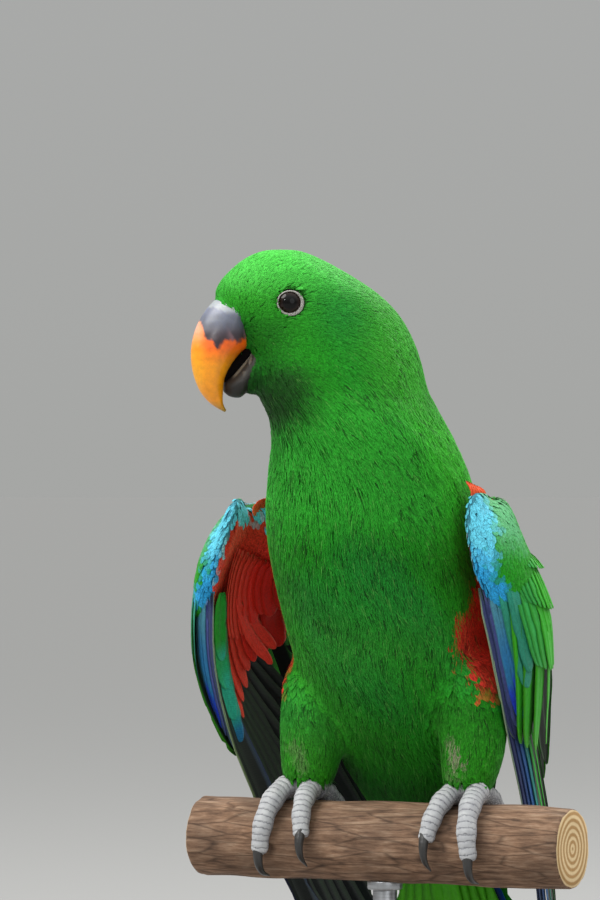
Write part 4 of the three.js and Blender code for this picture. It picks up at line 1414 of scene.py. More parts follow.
def make_lesser(hand, pad):
    """The small coverts that clothe a wing's flesh on both faces."""
    place = wing_place(hand)
    surface = surface_of(pad, 12)
    samples = surface_samples(surface, LESSER["tried"], 21)
    spots = at_samples(surface, surface["points"], samples)
    kept = thinned(spots, np.full(len(spots), LESSER["spacing"]))
    spots = spots[kept]
    ups = unit(at_samples(surface, surface["ups"], (samples[0][kept], samples[1][kept])))
    p, q, w = sheet_guess(place, spots).T
    facing = np.sum(ups * unit(place(p, q, w + 1) - place(p, q, w)), axis=1)
    below = facing < 0
    lies = unit(place(p + 2, q + np.where(below, 0.6, 0.25), w) - place(p, q, w))
    lies = unit(lies - ups * np.sum(lies * ups, axis=1, keepdims=True))
    draw = np.random.default_rng(31)
    count = len(spots)
    size = mix(0.75, 1.15, smooth(p, 0, 60)) * mix(0.5, 1, smooth(np.abs(facing), 0.3, 0.95))
    look = {
        "length": LESSER["length"] * size * draw.uniform(0.9, 1.1, count),
        "width": LESSER["half"] * size * draw.uniform(0.9, 1.1, count),
        "depth": mix(0.5, 0.85, smooth(np.abs(facing), 0.3, 0.95)),
        "root_shade": np.full(count, 0.82),
        "tone": draw.uniform(0.93, 1.07, count),
    }
    jitter = draw.normal(0, 1, (3, count))
    spread = p + 1.2 * jitter[0], q + 0.6 * jitter[1], facing + 0.05 * jitter[2]
    colours = lesser_colours(*spread, *TURQUOISE_REACH[hand])
    unwrap = 0.02 + 0.96 * (q + 10) / 90 * 0.5 + 0.5 * below, 0.02 + 0.96 * (p + 10) / 100
    unwrap = np.clip(np.stack(unwrap, axis=-1), 0, 0.99)
    return feathers(surface, spots, lies, look, CONTOUR, colours, unwrap, 41)


# The tail's fans: their pairs of feathers, where these start, how long the middle and the outer ones are,
# their half width, the degrees and the root's width from one to the next, and their height at root and tip
TAIL_FANS = named_rows(
    "pairs start length outer half spread root lift below",
    rectrices=(6, 16, 118, 106, 8.5, 1.95, 1.8, (1.5, 0)),
    upper_coverts=(5, 6, 50, 40, 5, 3, 2.4, (5, 4.5)),
    rump_coverts=(4, -7, 31, 22, 5, 3.2, 2.6, (10.6, 6.8)),
    under_coverts=(5, 6, 62, 50, 5.5, 2.8, 2.4, (-5, -6), True),
)


def tail_colours(fan, t, c, share, under):
    """The colours of one feather of a fan; share is 0 for the middle pair and 1 for the outer one."""
    t, _ = np.broadcast_arrays(t[:, None], c[None, :])
    if fan == "under_coverts":
        return blend(GREEN_YELLOW, (GREEN, 0.5 * (1 - t)))
    if fan in ("upper_coverts", "rump_coverts"):
        return blend(GREEN, (GREEN_LIGHT, 0.4 * t))
    tip = smooth(t, 0.93, 0.97)
    if under:
        return blend(BLACK, (TAIL_TIP, 0.8 * tip))
    return blend(
        GREEN,
        (BLUE_MID, 0.85 * smooth(share + 0 * t, 0.15, 0.7)),
        (BLUE, 0.6 * smooth(share + 0 * t, 0.6, 1)),
        (BLUE_MID, 0.5 * smooth(t, 0.7, 0.9)),
        (TAIL_TIP, 0.75 * tip),
    )


def make_tail():
    """The tail's feathers in pairs, the middle pair on top."""
    draw = np.random.default_rng(71)
    vanes = []
    for fan, values in TAIL_FANS.items():
        long_ = fan == "rectrices"
        way = -1 if values.get("below") else 1
        pairs, start, root, spread = (values[key] for key in ("pairs", "start", "root", "spread"))
        for rank in range(2 * pairs):
            hand = -1 if rank % 2 else 1
            at = rank // 2 + 0.5
            share = (at - 0.5) / (pairs - 0.5)
            reach = mix(values["length"], values["outer"], share**2)
            turn = math.radians(at * spread)
            feather = {
                "p": start,
                "q": hand * (at * root + start * math.sin(turn)),
                "toP": reach * math.cos(turn),
                "toQ": hand * (at * root + reach * math.sin(turn)),
                "half": values["half"],
            }

            def lift(t):
                """The feather's height along it: each pair lies a little under the one before it."""
                step = np.maximum(0, 0.6 - 0.1 * (root + t * reach * math.radians(spread)))
                second = mix(0.3, 0.6, t) if hand < 0 else 0
                return mix(*values["lift"], t) - way * ((at - 0.5) * step + second)

            rachis = 0.05 * hand if at < 1 else -0.3 * hand if long_ else 0.05
            outline = "flight" if long_ else "covert"
            grown = vane(tail_place, feather, lift, way * hand * 0.12, outline, rachis, draw)
            vanes.append(coloured(grown, tail_colours, fan, share, draw))
    return vanes_piece(vanes, flip=True)


def make_tail_root():
    """The flesh that the tail grows from."""
    across, out, down = egg(18, 32)
    piece = ringed(tail_place(
        TAIL_ROOT["p"] + TAIL_ROOT["long"] * down,
        TAIL_ROOT["wide"] * across,
        TAIL_ROOT["w"] + TAIL_ROOT["thick"] * out,
    ))
    paint(piece, "plumage", np.tile(GREEN, (len(piece.data.vertices), 1)))
    return piece


# Eyes and lids

def look_frame(side):
    """The way an eye looks, and the ways up and back from it."""
    origin = in_head(0, 0, 0)
    look = unit(in_head(side, math.sin(math.radians(EYE["look"])), 0) - origin)
    up = np.array([0, 0, 1.0])
    back = unit(np.cross(up, look)) * side
    return look, up, back


def eye_place(side):
    return in_head(side * EYE["side"], EYE["f"], EYE["h"])


# The lid's opening, by its reach up, down, to the front and to the back, with its ring's distance from
# the eye's middle and its height; then the ring's width, and at which angle round the eye it is widest
LID = {"high": 3.75, "low": 3.85, "front": 4.05, "back": 4.0, "level": 4.0, "thick": 0.55}
LID_WIDTH = {"thin": 0.5, "wide": 1.4, "at": -35}
LID_BEADS = 26


def lid_reach(a):
    """A lid's inner radius and its breadth at angles round the eye, from the back upwards."""
    x, y = np.cos(a), np.sin(a)
    along, across = np.where(x > 0, LID["back"], LID["front"]), np.where(y > 0, LID["high"], LID["low"])
    near_wide = (0.5 + 0.5 * np.cos(a - math.radians(LID_WIDTH["at"]))) ** 1.5
    return np.hypot(along * x, across * y), mix(LID_WIDTH["thin"], LID_WIDTH["wide"], near_wide)


def make_lid(side):
    """The bare lid's ring round an eye, widest low at its back."""
    look, up, back = look_frame(side)
    deselect()
    bpy.ops.mesh.primitive_torus_add(major_segments=80, minor_segments=14, major_radius=1, minor_radius=0.25)
    piece = bpy.context.object
    at = vertices(piece)
    a = np.arctan2(at[:, 1], at[:, 0])
    section = np.arctan2(at[:, 2], np.hypot(at[:, 0], at[:, 1]) - 1)
    inner, wide = lid_reach(a)
    beads = 1 + 0.1 * np.sin(LID_BEADS * a) * np.clip(np.sin(section), 0, 1)
    reach = inner + wide * (0.5 + 0.5 * np.cos(section))
    height = LID["level"] + LID["thick"] * np.sin(section) * beads - 0.08 * (reach - inner)
    outward = np.cos(a)[:, None] * back + np.sin(a)[:, None] * up
    move_points(piece, eye_place(side) + height[:, None] * look + reach[:, None] * outward)
    return closed(piece)


def make_eye(side):
    """An eyeball with its cornea a little proud, and how far each point is from the pupil's middle."""
    look, up, back = look_frame(side)
    deselect()
    bpy.ops.mesh.primitive_uv_sphere_add(segments=48, ring_count=32, radius=1)
    piece = bpy.context.object
    at = vertices(piece)
    from_pole = np.degrees(np.arccos(np.clip(at[:, 2], -1, 1)))
    bulge = 1 + 0.035 * smooth(-from_pole, -42, -18)
    at = at * (EYE["radius"] * bulge)[:, None]
    move_points(piece, eye_place(side) + at[:, 2:] * look + at[:, :1] * back + at[:, 1:2] * up)
    mark(piece, "from_pupil", from_pole)
    return closed(piece)


def eye_material():
    """A wet cornea over a very dark brown iris: mirror-like, with a black pupil."""
    made, tree, shader = material("wet_dark_eye", "#19120d")
    turn = add(tree, "ShaderNodeAttribute", attribute_name="from_pupil")["Fac"]
    share = add(tree, "ShaderNodeMath", {0: turn, 1: 90.0}, operation="DIVIDE")[0]
    place = add(tree, "ShaderNodeTexCoord")["Object"]
    noise = add(tree, "ShaderNodeTexNoise", {"Vector": place, "Scale": 1 / (0.5 * MM), "Detail": 2.0})["Fac"]
    rings = [(0.26, "#030202"), (0.32, "#1a0c07"), (0.48, "#241109"), (0.56, "#060303")]
    iris = add(tree, "ShaderNodeValToRGB", {"Fac": share}, rings)[0]
    speck = add(tree, "ShaderNodeValToRGB", {"Fac": noise}, [(0.35, 0.55), (0.65, 1)])[0]
    colour = add(tree, "ShaderNodeMix", {0: 1.0, 6: iris, 7: speck}, **MULTIPLY)[2]
    feed(shader, {"Base Color": colour, "Roughness": 0.04, "IOR": 1.38, "Specular IOR Level": 0.4})
    return made


def lid_material():
    """Bare eyelid skin: pale grey, matt and finely pimpled."""
    made, tree, shader = material("bare_lid_skin", "#b9b6ae")
    place = add(tree, "ShaderNodeTexCoord")["Object"]
    pimples = add(tree, "ShaderNodeTexVoronoi", {"Vector": place, "Scale": 1 / (0.35 * MM)})["Distance"]
    colour = add(tree, "ShaderNodeValToRGB", {"Fac": pimples}, [(0.0, "#d9d7cf"), (0.7, "#7f7c76")])[0]
    bump = add(tree, "ShaderNodeBump", {"Height": pimples, "Strength": -0.5, "Distance": 0.1 * MM})[0]
    feed(shader, {"Base Color": colour, "Normal": bump, "Roughness": 0.6})
    return made


# Bill

# Where slate turns to orange on the upper bill, as h at each f
SLATE_EDGE = [
    (20, -8), (23.8, -8.2), (27.5, -8.9), (30.8, -9.5), (32, -10), (33.7, -12.4), (34.8, -9.2), (35.9, -8.2),
    (37.4, -7), (38.2, 0), (39, 4.5), (41, 9),
]


def bill_ring(place, depth, half, sides):
    """A ring of the bill from its ridge inwards, a little narrower towards the ridge."""
    a = circle(sides)
    across = half * np.sin(a) * (1 - 0.22 * np.maximum(0, np.cos(a)))
    return place(across, depth / 2 * (1 - np.cos(a)))


def make_upper_bill():
    """The hooked upper bill, ring by ring round the curve of its ridge."""
    rings = []
    for row in fill(UPPER_BILL_ROWS, 9):
        a = math.radians(row["angle"])

        def place(across, inwards):
            reach = CULMEN["radius"] - row["inset"] - inwards
            return in_head(across, CULMEN["f"] + reach * math.cos(a), CULMEN["h"] + reach * math.sin(a))

        rings.append(bill_ring(place, row["depth"], row["half"], 80))
    return ringed(rings)


def make_lower_bill():
    """The lower bill, a scoop whose rim stands a lip above its solid's."""
    rings = []
    for row in fill(LOWER_BILL_ROWS, 10):
        # The horn's root narrows to run in under the feathers
        root = smooth(-row["f"], -23.5, -19.5)
        keel = row["keel"] + 1.8 * root

        def place(across, up):
            return in_head(across, row["f"], keel + up)

        rings.append(bill_ring(place, row["rim"] - keel + RIM_LIP, row["half"] * (1 - 0.14 * root), 72))
    return ringed(rings)


def make_mouth():
    """The dark lining that closes the mouth between the two halves of the bill."""
    a = circle(20)
    rings = []
    for row in fill(MOUTH_ROWS, 4):
        slant = row["thick"] * np.cos(a) * 0.7
        rings.append(in_head(row["half"] * np.sin(a), row["f"] + slant, row["h"] + slant))
    return ringed(rings)


def upper_bill_colours(points):
    """Orange horn with a painted highlight down its ridge, and a slate root that ends in a ragged edge."""
    _, f, h = head_places(points)
    edge = np.interp(f, *zip(*SLATE_EDGE)) + 0.9 * ripple(points, 2.6, 14) + 0.5 * ripple(points, 1.1, 15)
    streaks = smooth(ripple(points * (1, 1, 0.6), 1.5, 19), 0.1, 0.8)
    orange = blend(
        linear("#ff6a04"),
        (linear("#ffa004"), smooth(-h, 10, 19)),
        (linear("#ffb414"), 0.6 * smooth(f, 36, 40)),
        # A painted highlight down the front of the ridge
        (linear("#f6b9a4"), 0.85 * smooth(f, 36.5, 39.5) * smooth(h, -12, -2)),
        (linear("#8f7a1e"), 0.75 * smooth(-h, 30, 35) + 0.2 * smooth(-f, -31, -28) * smooth(-h, 11, 15)),
    )
    slate = blend(
        linear("#3a2a33"),
        (linear("#5f6475"), smooth(h, -8, -1)),
        # Lighter towards the top, partly its own grey and partly painted sheen; the pale streaks are partly
        # painted highlights
        (linear("#767b92"), smooth(h, -1, 3)),
        (linear("#9b7278"), 0.7 * streaks * smooth(-h, 3, 6) * smooth(-f, -31, -27)),
        (linear("#2c2027"), 0.6 * streaks * smooth(-h, 4, 8) * smooth(f, 28, 32)),
        # A pale band where the bill leaves the feathers: a painted highlight on the cere
        (linear("#c3cac6"), 0.5 * smooth(-past_cover(points), -0.9, -0.4) * smooth(h, 0.5, 2.5)),
    )
    return blend(orange, (slate, smooth(h - edge, -0.6, 0.6)))


def lower_bill_colours(points):
    """Black horn, with a pale worn line under its rim and flakes at its side."""
    _, f, h = head_places(points)
    rows = fill(LOWER_BILL_ROWS, 8)
    rim = RIM_LIP + np.interp(f, [row["f"] for row in rows], [row["rim"] for row in rows])
    line = smooth(h - rim, -1.5, -0.9) * smooth(rim - h, 0.1, 0.5) * smooth(-f, -27, -25)
    flakes = smooth(ripple(points * (1, 1, 0.5), 1.1, 17), 0.25, 0.6)
    flakes = flakes * smooth(-f, -24, -22) * smooth(h - rim, -5, -2)
    return blend(
        linear("#1c1917"),
        (linear("#3c3730"), 0.7 * smooth(h, -27, -17)),
        (linear("#a29c8c"), np.clip(0.75 * line + 0.55 * flakes, 0, 0.85)),
    )


def horn_material(name, roughness, line_mm, gloss=0.16, specular=0.5):
    """Keratin horn: satin, with fine growth lines and worn scuffs."""
    made, tree, shader = material(name, "#bc9559")
    colour = add(tree, "ShaderNodeAttribute", attribute_name="horn")["Color"]
    place = add(tree, "ShaderNodeTexCoord")["Object"]
    scuffs = add(tree, "ShaderNodeTexNoise", {
        "Vector": place, "Scale": 1 / (2.2 * MM), "Detail": 6.0, "Roughness": 0.65,
    })["Fac"]
    lines = add(tree, "ShaderNodeTexWave", {
        "Vector": place, "Scale": 1 / (6.3 * line_mm * MM), "Distortion": 3.0, "Detail": 3.0,
    }, bands_direction="Z")["Fac"]
    wear = [(0.3, (0.82, 0.8, 0.78)), (0.6, 1), (0.8, (1.06, 1.06, 1.08))]
    shade = add(tree, "ShaderNodeValToRGB", {"Fac": scuffs}, wear)[0]
    worn = add(tree, "ShaderNodeMix", {0: 1.0, 6: colour, 7: shade}, **MULTIPLY)[2]
    rough = add(tree, "ShaderNodeMapRange", {
        "Value": scuffs, "To Min": roughness - 0.1, "To Max": roughness + 0.18,
    })[0]
    height = add(tree, "ShaderNodeMath", {0: lines, 1: scuffs}, operation="ADD")[0]
    bump = add(tree, "ShaderNodeBump", {"Height": height, "Strength": 0.25, "Distance": 0.12 * MM})[0]
    feed(shader, {
        "Base Color": worn, "Normal": bump, "Roughness": rough, "IOR": 1.54, "Specular IOR Level": specular,
        "Coat Weight": gloss, "Coat Roughness": 0.2, "Subsurface Weight": 0.12,
        "Subsurface Radius": (0.8 * MM, 0.4 * MM, 0.15 * MM),
    })
    return made


# Feet

SCUTE_MM = 2.1
TOE_SINK = 0.9  # how far the toes press into the bark's hollows
TOE_TAPER = 0.26
TOE_RINGS = 70
FOOT_SIDES = 28


def on_perch(x, degrees, out):
    """A place beside the perch: out from its skin, at an angle from its top towards the front."""
    reach = PERCH["radius"] + out
    a = np.radians(degrees)
    return np.stack(np.broadcast_arrays(x, -reach * np.sin(a), reach * np.cos(a) - PERCH["radius"]), axis=-1)


def swept(path, radius, sides, crest=None):
    """Rings of a body along a path beside the perch; crest adds to the radius on its outer side."""
    ways = unit(np.gradient(path, axis=0))
    outward = unit(path * (0, 1, 1) + (0, 0, PERCH["radius"]))
    outward = unit(outward - ways * np.sum(outward * ways, axis=1, keepdims=True))
    across = np.cross(ways, outward)
    a = circle(sides)
    reach = radius[:, None] * np.ones(sides)[None, :]
    if crest is not None:
        reach = reach + crest[:, None] * np.clip(np.cos(a), 0, 1)[None, :] ** 0.5
    ring = outward[:, None] * np.cos(a)[None, :, None] + across[:, None] * np.sin(a)[None, :, None]
    return path[:, None] + ring * reach[..., None]


def make_toe(toe, side):
    """A toe round the perch, with its middle line and how far along it each ring is."""
    t = np.linspace(0, 1, 9)
    x = side * (FOOT["x"] + toe["out"] + toe["splay"] * t)
    degrees = toe["way"] * mix(TOE_START, toe["end"], t)
    rise = GAP - TOE_SINK + 1.06 * toe["r"] * (1 - TOE_TAPER * t)
    path = curve_through(on_perch(x, degrees, rise), TOE_RINGS)
    s = np.linspace(0, 1, TOE_RINGS)
    length = np.linalg.norm(np.diff(path, axis=0), axis=1).sum()
    pads = 1 + 0.06 * np.cos(6 * math.pi * s)
    end = np.sqrt(np.clip(1 - (np.maximum(s - 0.9, 0) / 0.13) ** 2, 0.2, 1))
    radius = toe["r"] * (1 - TOE_TAPER * s) * pads * end
    scutes = 0.35 * (1 - (s * length / SCUTE_MM) % 1)
    return ringed(swept(path, radius, FOOT_SIDES, scutes)), path, s * length


def make_foot(side):
    """Shank and toes, scuted above and padded below, fused into one skin."""
    parts, middles, along = map(list, zip(*(make_toe(toe, side) for toe in TOES)))
    low, top, wide = FOOT["low"], FOOT["top"], FOOT["r"]
    shank = rows_of("z r", (low + 1, wide - 1.3), (low + 3.5, wide), (top, wide - 2), (top + 6, wide - 2.6))
    a = circle(FOOT_SIDES)
    rings = []
    for row in fill(shank, 5):
        x = side * FOOT["x"] + LEG_AXIS["shift"] * min(1, row["z"] / LEG_AXIS["over"])
        ring = x + row["r"] * np.cos(a), FOOT["y"] + row["r"] * np.sin(a), 0 * a + row["z"]
        rings.append(np.stack(ring, axis=-1))
        middles.append(np.array([[x, FOOT["y"], row["z"]]]))
        along.append(np.array([-row["z"]]))
    foot = fuse(joined([*parts, ringed(rings)]), 0.45, 3)
    middles, along = np.concatenate(middles), np.concatenate(along)
    tree = search_tree(middles)
    points = points_of(foot)
    near = np.array([tree.find(point)[1] for point in points])
    away = unit(points - np.array([0, 0, -PERCH["radius"]]) * (1, 0, 1) - points * (1, 0, 0))
    mark(foot, "along_toe", along[near])
    mark(foot, "upper_side", smooth(np.sum(unit(points - middles[near]) * away, axis=1), -0.1, 0.25))
    return closed(foot)


def foot_material():
    """Scaled bird skin: pale grey, dry and matt, with cross scutes above and fine grains below."""
    made, tree, shader = material("scaled_foot_skin", "#b4b5b6")
    place = add(tree, "ShaderNodeTexCoord")["Object"]
    scales = add(tree, "ShaderNodeTexVoronoi", {
        "Vector": place, "Scale": 1 / (0.9 * MM),
    }, feature="DISTANCE_TO_EDGE")["Distance"]
    grains = add(tree, "ShaderNodeValToRGB", {"Fac": scales}, [(0.0, 0.25), (0.3, 1)])[0]
    along = add(tree, "ShaderNodeAttribute", attribute_name="along_toe")["Fac"]
    wobble = add(tree, "ShaderNodeTexNoise", {
        "Vector": place, "Scale": 1 / (1.5 * MM), "Detail": 2.0,
    })["Fac"]
    bent = add(tree, "ShaderNodeMath", {0: wobble, 1: 0.9, 2: along}, operation="MULTIPLY_ADD")[0]
    rows = add(tree, "ShaderNodeMath", {0: bent, 1: SCUTE_MM}, operation="DIVIDE")[0]
    rows = add(tree, "ShaderNodeMath", {0: rows}, operation="FRACT")[0]
    plates = [(0.0, 0.2), (0.16, 0.9), (0.8, 1), (1.0, 0.45)]
    scutes = add(tree, "ShaderNodeValToRGB", {"Fac": rows}, plates)[0]
    upper = add(tree, "ShaderNodeAttribute", attribute_name="upper_side")["Fac"]
    relief = add(tree, "ShaderNodeMix", {0: upper, 6: grains, 7: scutes}, data_type="RGBA")[2]
    dust = add(tree, "ShaderNodeTexNoise", {"Vector": place, "Scale": 1 / (3 * MM), "Detail": 4.0})["Fac"]
    greys = [(0.1, "#55565a"), (0.6, "#a2a3a6"), (1.0, "#c2c3c4")]
    skin = add(tree, "ShaderNodeValToRGB", {"Fac": relief}, greys)[0]
    shade = add(tree, "ShaderNodeValToRGB", {"Fac": dust}, [(0.3, (0.72, 0.72, 0.75)), (0.7, 1)])[0]
    colour = add(tree, "ShaderNodeMix", {0: 1.0, 6: skin, 7: shade}, **MULTIPLY)[2]
    bump = add(tree, "ShaderNodeBump", {"Height": relief, "Strength": 0.7, "Distance": 0.3 * MM})[0]
    feed(shader, {"Base Color": colour, "Normal": bump, "Roughness": 0.7})
    return made


def make_claw(toe, side):
    """A claw that leaves its toe's end and hooks down to the perch."""
    t = np.linspace(-0.12, 1, 8)
    x = side * (FOOT["x"] + toe["out"] + toe["splay"])
    span = math.degrees(CLAW["length"] / (PERCH["radius"] + CLAW["r"]))
    degrees = toe["way"] * (toe["end"] - 4 + (span + 4) * t)
    arch = 2.4 * np.sin(np.pi * np.clip(t + 0.08, 0, 1))
    rise = toe["r"] * 0.9 - 0.6 + arch - 2.4 * t
    path = curve_through(on_perch(x, degrees, GAP + np.maximum(rise, 0.5)), 30)
    return ringed(swept(path, mix(CLAW["r"], 0.25, np.linspace(0, 1, 30) ** 1.25), 20))


# Perch and stand

# The branch's old knots, by their place along it, their angle from its top and their size
PERCH_KNOTS = [(-58, 40, 7), (12, 150, 6), (66, -60, 6.5), (-6, 75, 4)]


def make_perch():
    """A cut branch: round, a little uneven, with shallow bark furrows, old knots and sawn ends."""
    x = PERCH["length"] / 2 * np.r_[-1, -1, -1, -0.994, np.linspace(-0.985, 0.985, 150), 0.994, 1, 1, 1]
    share = np.r_[0.35, 0.7, 0.955, 0.985, np.ones(150), 0.985, 0.955, 0.7, 0.35]
    degrees = np.degrees(circle(96))[None, :]
    skin = on_perch(x[:, None], degrees, 0)
    furrows = ripple(skin * (0.25, 1, 1), 3.2, 91) * 0.25 + ripple(skin * (0.35, 1, 1), 8, 92) * 0.35
    knots = np.zeros(skin.shape[:2])
    for at, turned, size in PERCH_KNOTS:
        away = np.linalg.norm(skin - on_perch(at, turned, 0), axis=-1) / size
        knots += 0.9 * np.exp(-((away * 1.6) ** 2)) - 0.7 * np.exp(-((away * 4) ** 2))
    bark = on_perch(x[:, None], degrees, -0.5 + furrows + knots - 0.15)
    middle = np.array([0, 0, -PERCH["radius"]])
    out = bark - middle
    out[..., 1:] *= share[:, None, None]
    return ringed(middle + out)


def bark_material():
    """Weathered branch: thin grey-brown bark with long cracks; pale rings on the sawn ends."""
    made, tree, shader = material("weathered_branch", "#8d6f57")
    place = add(tree, "ShaderNodeTexCoord")["Object"]
    stretched = add(tree, "ShaderNodeMapping", {"Vector": place, "Scale": (0.13, 1, 1)})[0]
    grain = add(tree, "ShaderNodeTexNoise", {
        "Vector": stretched, "Scale": 1 / (1.6 * MM), "Detail": 7.0, "Roughness": 0.7,
    })["Fac"]
    blotch = add(tree, "ShaderNodeTexNoise", {"Vector": place, "Scale": 1 / (16 * MM), "Detail": 3.0})["Fac"]
    cracks = add(tree, "ShaderNodeTexVoronoi", {
        "Vector": stretched, "Scale": 1 / (4 * MM),
    }, feature="DISTANCE_TO_EDGE")["Distance"]
    browns = [(0.3, "#4e3a2c"), (0.5, "#8a6c55"), (0.72, "#b59b82")]
    wood = add(tree, "ShaderNodeValToRGB", {"Fac": grain}, browns)[0]
    greying = [(0.35, (0.62, 0.6, 0.6)), (0.65, (1.05, 1.0, 0.97))]
    weather = add(tree, "ShaderNodeValToRGB", {"Fac": blotch}, greying)[0]
    wood = add(tree, "ShaderNodeMix", {0: 1.0, 6: wood, 7: weather}, **MULTIPLY)[2]
    crack = add(tree, "ShaderNodeValToRGB", {"Fac": cracks}, [(0.0, (0.25, 0.22, 0.2)), (0.06, 1)])[0]
    wood = add(tree, "ShaderNodeMix", {0: 0.7, 6: wood, 7: crack}, **MULTIPLY)[2]
    parts = add(tree, "ShaderNodeSeparateXYZ", {"Vector": place})
    end = add(tree, "ShaderNodeMath", {0: parts["X"]}, operation="ABSOLUTE")[0]
    limit = (PERCH["length"] / 2 - 0.15) * MM
    sawn = add(tree, "ShaderNodeMath", {0: end, 1: limit}, operation="GREATER_THAN")[0]
    heart = (0, 0, (PERCH_TOP - PERCH["radius"]) * MM)
    centred = add(tree, "ShaderNodeVectorMath", {0: place, 1: heart}, operation="SUBTRACT")[0]
    rings = add(tree, "ShaderNodeTexWave", {
        "Vector": centred, "Scale": 1 / (6.3 * 1.3 * MM), "Distortion": 1.2, "Detail": 2.0,
    }, wave_type="RINGS", rings_direction="X")["Fac"]
    cut = add(tree, "ShaderNodeValToRGB", {"Fac": rings}, [(0.2, "#a8824f"), (0.8, "#d8bd90")])[0]
    colour = add(tree, "ShaderNodeMix", {0: sawn, 6: wood, 7: cut}, data_type="RGBA")[2]
    bump = add(tree, "ShaderNodeBump", {"Height": grain, "Strength": 0.7, "Distance": 0.5 * MM})[0]
    feed(shader, {"Base Color": colour, "Normal": bump, "Roughness": 0.88})
    return made


def pick(piece, test):
    """Selects the faces of a piece in edit mode whose middle passes the test."""
    bpy.ops.object.mode_set(mode="EDIT")
    bpy.ops.mesh.select_mode(type="FACE")
    bpy.ops.mesh.select_all(action="DESELECT")
    bpy.ops.object.mode_set(mode="OBJECT")
    for face in piece.data.polygons:
        face.select = test(face)
    bpy.ops.object.mode_set(mode="EDIT")


def turned_disc(radius, bottom, top, sides):
    """A cylinder on the stand's axis, with its place in its mesh."""
    deselect()
    middle = (0, 0, (top + bottom) / 2 * MM)
    bpy.ops.mesh.primitive_cylinder_add(
        vertices=sides, radius=radius * MM, depth=(top - bottom) * MM, location=middle,
    )
    piece = bpy.context.object
    only(piece)
    bpy.ops.object.transform_apply(location=True, rotation=True, scale=True)
    return piece


def make_base():
    """A turned disc with a rolled upper edge, a cut bead and a shallow foot."""
    piece = turned_disc(BASE["radius"], 0, BASE["thick"], 128)
    pick(piece, lambda face: face.normal.z > 0.5)
    # In from the edge there is a flat, then a groove's outer wall, its floor and its inner wall
    for wide, deep in ((9, 0), (0.6, -1.0), (0.9, 0), (0.6, 1.0)):
        bpy.ops.mesh.inset(thickness=wide * MM, depth=deep * MM)
    bpy.ops.object.mode_set(mode="OBJECT")
    pick(piece, lambda face: face.normal.z < -0.5)
    for wide, deep in ((5, 0), (0.5, -0.8)):
        bpy.ops.mesh.inset(thickness=wide * MM, depth=deep * MM)
    bpy.ops.object.mode_set(mode="OBJECT")
    shape(piece, "BEVEL", width=0.9 * MM, segments=4, limit_method="ANGLE", angle_limit=math.radians(50))
    bpy.ops.object.shade_smooth_by_angle(angle=math.radians(40))
    return piece


def wood_material():
    """Stained walnut, turned and varnished: dark, with long pores and a satin coat."""
    made, tree, shader = material("stained_walnut", "#4a3020")
    place = add(tree, "ShaderNodeTexCoord")["Object"]
    stretched = add(tree, "ShaderNodeMapping", {"Vector": place, "Scale": (0.08, 1, 1)})[0]
    grain = add(tree, "ShaderNodeTexNoise", {
        "Vector": stretched, "Scale": 1 / (2.2 * MM), "Detail": 8.0, "Roughness": 0.6, "Distortion": 0.6,
    })["Fac"]
    pores = add(tree, "ShaderNodeTexNoise", {
        "Vector": stretched, "Scale": 1 / (0.5 * MM), "Detail": 2.0,
    })["Fac"]
    browns = [(0.3, "#2c1b11"), (0.52, "#54371f"), (0.7, "#77522f")]
    wood = add(tree, "ShaderNodeValToRGB", {"Fac": grain}, browns)[0]
    dark = add(tree, "ShaderNodeValToRGB", {"Fac": pores}, [(0.3, 0.5), (0.45, 1)])[0]
    colour = add(tree, "ShaderNodeMix", {0: 0.8, 6: wood, 7: dark}, **MULTIPLY)[2]
    bump = add(tree, "ShaderNodeBump", {"Height": pores, "Strength": 0.15, "Distance": 0.1 * MM})[0]
    feed(shader, {
        "Base Color": colour, "Normal": bump, "Roughness": 0.38, "Coat Weight": 0.35, "Coat Roughness": 0.18,
    })
    return made


def make_rod():
    """A steel rod with a turned collar on the base and a smaller one under the branch."""
    low, high = BASE["thick"], PERCH_TOP - 2 * PERCH["radius"] + 0.6
    parts = []
    for radius, bottom, top in (
        (ROD_RADIUS, low, high + 2),
        (11, low + 0.05, low + 3.2),
        (7.2, low + 3.2, low + 6),
        (6.6, high - 2.6, high + 0.9),
    ):
        part = turned_disc(radius, bottom, top, 64)
        shape(part, "BEVEL", width=0.6 * MM, segments=3, limit_method="ANGLE", angle_limit=math.radians(50))
        parts.append(part)
    rod = joined(parts)
    bpy.ops.object.shade_smooth_by_angle(angle=math.radians(40))
    return rod


def steel_material():
    """Brushed stainless steel: fine rings round the rod and a soft reflection."""
    made, tree, shader = material("brushed_steel", "#a9abae")
    place = add(tree, "ShaderNodeTexCoord")["Object"]
    rings = add(tree, "ShaderNodeMapping", {"Vector": place, "Scale": (0.02, 0.02, 1)})[0]
    brush = add(tree, "ShaderNodeTexNoise", {
        "Vector": rings, "Scale": 1 / (0.25 * MM), "Detail": 3.0,
    })["Fac"]
    rough = add(tree, "ShaderNodeMapRange", {"Value": brush, "To Min": 0.24, "To Max": 0.44})[0]
    shade = add(tree, "ShaderNodeValToRGB", {"Fac": brush}, [(0.3, "#8f9194"), (0.7, "#bcbec1")])[0]
    bump = add(tree, "ShaderNodeBump", {"Height": brush, "Strength": 0.1, "Distance": 0.05 * MM})[0]
    feed(shader, {"Base Color": shade, "Normal": bump, "Roughness": rough, "Metallic": 1.0})
    return made


# Which places of the skin carry feathers

EYE_CLEAR = 0.25  # how far outside a lid's ring the first feathers grow
LID_MARGIN = 0.1  # how near a lid's ring their tips may come


